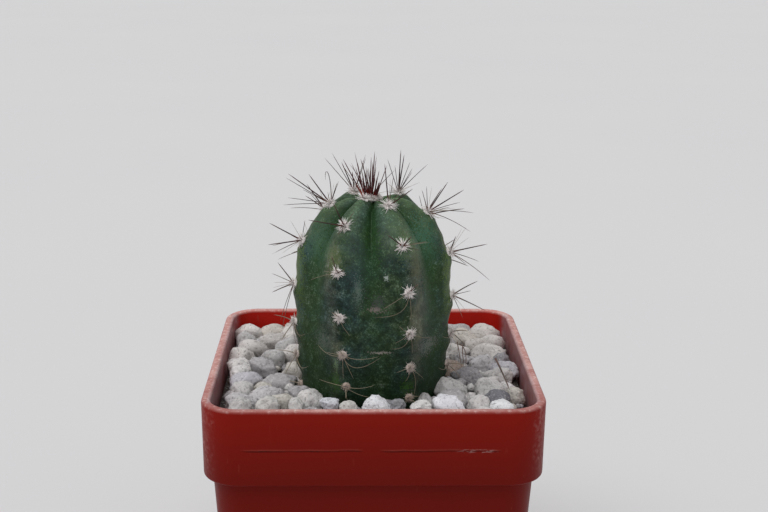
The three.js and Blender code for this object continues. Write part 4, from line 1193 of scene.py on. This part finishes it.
def place_stones():
    """Packs stones by darts, larger ones first, round the stem and inside the pot's wall."""
    numbers = make_random(STONE_SEED)
    edge = INNER_HALF_WIDTH - COLLAR_DRAFT - SEAT_GAP
    stones = [{"x": x, "y": y, "size": size, "top": top} for x, y, size, top in FRONT_STONES]
    for i in range(STONE_TRIES):
        share = 1 - i / STONE_TRIES
        spread = SMALLEST_SHARE + (1 - SMALLEST_SHARE) * next(numbers)
        size = STONE_MIN + (STONE_MAX - STONE_MIN) * share * spread
        x = (2 * next(numbers) - 1) * (edge - STONE_MARGIN * size)
        y = (2 * next(numbers) - 1) * (edge - STONE_MARGIN * size)
        apart = all(
            math.hypot(x - other["x"], y - other["y"]) > STONE_PACKING * (size + other["size"])
            for other in stones)
        if apart and lies_in_bed(x, y, SMALLEST_SHARE * size, edge):
            stones.append({"x": x, "y": y, "size": size})
    for stone in stones:
        stone["flatness"] = FLATNESS + FLATNESS_ROOM * next(numbers)
        stone["length"] = LENGTH + LENGTH_ROOM * next(numbers)
        stone["turn"] = math.pi * next(numbers)
        stone["tilt"] = STONE_TILT * (next(numbers) - 0.5)
        height = stone["size"] * stone["flatness"]
        rise = (RISE + RISE_ROOM * next(numbers)) * stone["size"]
        settled = min(BED_TOP + rise, STONE_TOP_LIMIT - height)
        stone["z"] = stone["top"] - height if "top" in stone else settled
    return [
        stone for stone in stones if all(
            (areole["centre"] - Vector((stone["x"], stone["y"], stone["z"]))).length
            > stone["size"] + AREOLE_CLEARANCE + SEAT_GAP for areole in areoles)]


def make_pumice():
    """Pumice is a foamed volcanic glass: matt, pale grey to cream, grainy and full of open
    pores that catch dust and shade."""
    material, tree, shader, place = new_material(
        "pumice_stone", {"Roughness": 0.94, "Specular IOR Level": 0.15})
    colour = add(tree, "Attribute", {}, "Color", attribute_name="stone_colour")
    cloud = add(
        tree, "TexNoise", {"Vector": place, "Scale": 0.42 / MM, "Detail": 8, "Roughness": 0.7})
    grit = add(tree, "TexNoise", {"Vector": place, "Scale": 2.4 / MM, "Detail": 3})
    shade, pores, lit_grains = [
        add(
            tree, "MapRange",
            {"Value": value, "From Min": start, "From Max": end, "To Min": low, "To Max": high})
        for value, start, end, low, high in (
            (cloud, 0.3, 0.7, 0.8, 1.12), (grit, 0.43, 0.31, 0, 0.6), (grit, 0.56, 0.7, 0, 0.35))]
    toned = add(tree, "VectorMath", {0: colour, 1: shade}, operation="MULTIPLY")
    colour = lay_tints(tree, toned, [([pores], "#615d5c"), ([lit_grains], "#f6f5f4")])
    finish_surface(tree, shader, colour, [(cloud, 0.8, 0.7, False), (grit, 0.6, 0.2, False)])
    return material


def add_stone(bm, stone, subdivisions, colour, draw):
    """A broken stone with its edges rubbed off: a ball cut by flat facets, worn and lumpy."""
    facets = []
    for _ in range(draw.randint(*FACET_COUNTS)):
        facing = Vector([draw.gauss(0, 1) for _ in range(3)]).normalized()
        facets.append((facing, draw.uniform(*FACET_DEPTHS)))
    known = len(bm.verts)
    bmesh.ops.create_icosphere(bm, subdivisions=subdivisions, radius=1)
    bm.verts.ensure_lookup_table()
    colour_layer = bm.verts.layers.float_color["stone_colour"]
    drift = Vector([draw.uniform(-NOISE_REACH, NOISE_REACH) for _ in range(3)])
    new = bm.verts[known:]
    for vert in new:
        ray = vert.co.normalized()
        crowd = sum((max(0, ray.dot(facing)) / height) ** STONE_WEAR for facing, height in facets)
        radius = min(LARGEST_BULGE, (crowd + WEAR_SOFTNESS) ** (-1 / STONE_WEAR))
        radius *= 1 + sum(height * noise.noise(ray * rate + drift) for height, rate in STONE_LUMPS)
        vert.co = ray * radius
        vert[colour_layer] = colour
    size = stone["size"]
    thickness = size * min(1, stone["flatness"] * STONE_PLUMPNESS)
    shape = (
        Matrix.Translation((stone["x"], stone["y"], stone["z"]))
        @ Matrix.Rotation(stone["turn"], 4, "Z")
        @ Matrix.Rotation(stone["tilt"], 4, "Y")
        @ Matrix.Diagonal((size * stone["length"], size / stone["length"], thickness, 1)))
    bmesh.ops.transform(bm, matrix=shape, verts=new)


def new_heap():
    """An empty mesh that carries each stone's colour."""
    bm = bmesh.new()
    bm.verts.layers.float_color.new("stone_colour")
    return bm


pumice = make_pumice()
stones = place_stones()
draw = random.Random(COLOUR_SEED)
heaps = {"gravel_left": new_heap(), "gravel_right": new_heap(), "gravel_back": new_heap()}
for i, stone in enumerate(stones):
    side = "gravel_left" if stone["x"] < 0 else "gravel_right"
    if stone["y"] > BACK_LINE:
        side = "gravel_back"
    shade = draw.choice(BACK_COLOURS if side == "gravel_back" else STONE_COLOURS)
    for (x, y), tint in STONE_ACCENTS:
        if math.hypot(stone["x"] - x, stone["y"] - y) < stone["size"]:
            shade = tint
    if i < len(FRONT_COLOURS):
        shade = FRONT_COLOURS[i]
    detail = BACK_DETAIL if side == "gravel_back" else STONE_DETAIL
    add_stone(heaps[side], stone, detail, linear(shade), draw)
for name, heap in heaps.items():
    finish_piece(name, heap, [pumice], ["gravel"])

# Below the stones lies a plain slab coloured dark grey: painted shade for the deep gaps between them.
bed = new_heap()
floor = rounded_square(
    bed, INNER_HALF_WIDTH - BED_GAP, RIM_CORNER_RADIUS - LIP_WIDTH, LEDGE_HEIGHT + SEAT_GAP)
bed_top = push_loop(bed, list(floor.edges), INNER_HALF_WIDTH - BED_GAP, BED_TOP)
bmesh.ops.contextual_create(bed, geom=bed_top)
bmesh.ops.recalc_face_normals(bed, faces=bed.faces)
bed_shade_colour = bed.verts.layers.float_color["stone_colour"]
for vert in bed.verts:
    vert[bed_shade_colour] = linear(BED_PAINTED_SHADE_COLOUR)
finish_piece("gravel_bed_painted_shade", bed, [pumice])

# Fines are the grains that sift down between the stones.
FINE_TRIES = 620
FINE_MIN = 0.6
FINE_MAX = 1.25
FINE_MARGIN = 0.6
FINE_FLATNESS = (0.6, 0.95)
FINE_LENGTHS = (0.9, 1.25)
FINE_TILT = 0.5
fines = new_heap()
for _ in range(FINE_TRIES):
    size = draw.uniform(FINE_MIN, FINE_MAX)
    x = draw.uniform(-1, 1) * (INNER_HALF_WIDTH - FINE_MARGIN - size)
    y = draw.uniform(-1, 1) * (INNER_HALF_WIDTH - FINE_MARGIN - size)
    if not lies_in_bed(x, y, size, INNER_HALF_WIDTH):
        continue
    fine = {
        "x": x, "y": y, "z": BED_TOP + draw.uniform(0, 1) * size, "size": size,
        "flatness": draw.uniform(*FINE_FLATNESS), "length": draw.uniform(*FINE_LENGTHS),
        "turn": draw.uniform(0, math.pi), "tilt": draw.uniform(-FINE_TILT, FINE_TILT)}
    add_stone(fines, fine, FINE_DETAIL, linear(draw.choice(STONE_COLOURS)), draw)
finish_piece("gravel_fines", fines, [pumice])

# Litter on the gravel
# A shed spine leans on the stones at the right, and dry brown root fibres stand behind it.
FALLEN_SPINE = [(21.4, -2.6, 50), (21.9, -9, 49.9), (22.4, -15.2, 49)]
ROOT_FIBRES = [
    [(15.2, 3.6, 51), (15.3, 1.6, 50.4), (15.7, -1.2, 47.9)],
    [(15.8, 3.4, 50.6), (16.9, 2, 50.3), (16.4, -1.2, 48)],
    [(16.2, 3.2, 50.2), (15.9, 2, 49.8), (16.2, -0.4, 48.2)]]
FIBRE_RADIUS = 0.1
FALLEN_SPINE_RADIUS = 0.2
FALLEN_SPINE_AGE = 0.18
DEAD_AGE = 1


def make_dry_root():
    """Dry root bark: dull brown, paler where it has frayed."""
    material, tree, shader, place = new_material("dry_root_bark", {"Roughness": 0.8})
    fray = add(tree, "TexNoise", {"Vector": place, "Scale": 1.5 / MM, "Detail": 4})
    finish_surface(tree, shader, lay_tints(tree, linear("#4e3a33"), [([fray], "#8f7263")]), [])
    return material


litter = new_tuft()
fallen = [Vector(place) for place in FALLEN_SPINE]
grow_needle(litter, spine_blank, fallen, FALLEN_SPINE_RADIUS, FALLEN_SPINE_AGE, 0)
for route in ROOT_FIBRES:
    fibre = [Vector(place) for place in route]
    grow_needle(litter, spine_blank, fibre, FIBRE_RADIUS, DEAD_AGE, 1)
finish_piece("fallen_litter", litter, [spine_fibre, make_dry_root()])
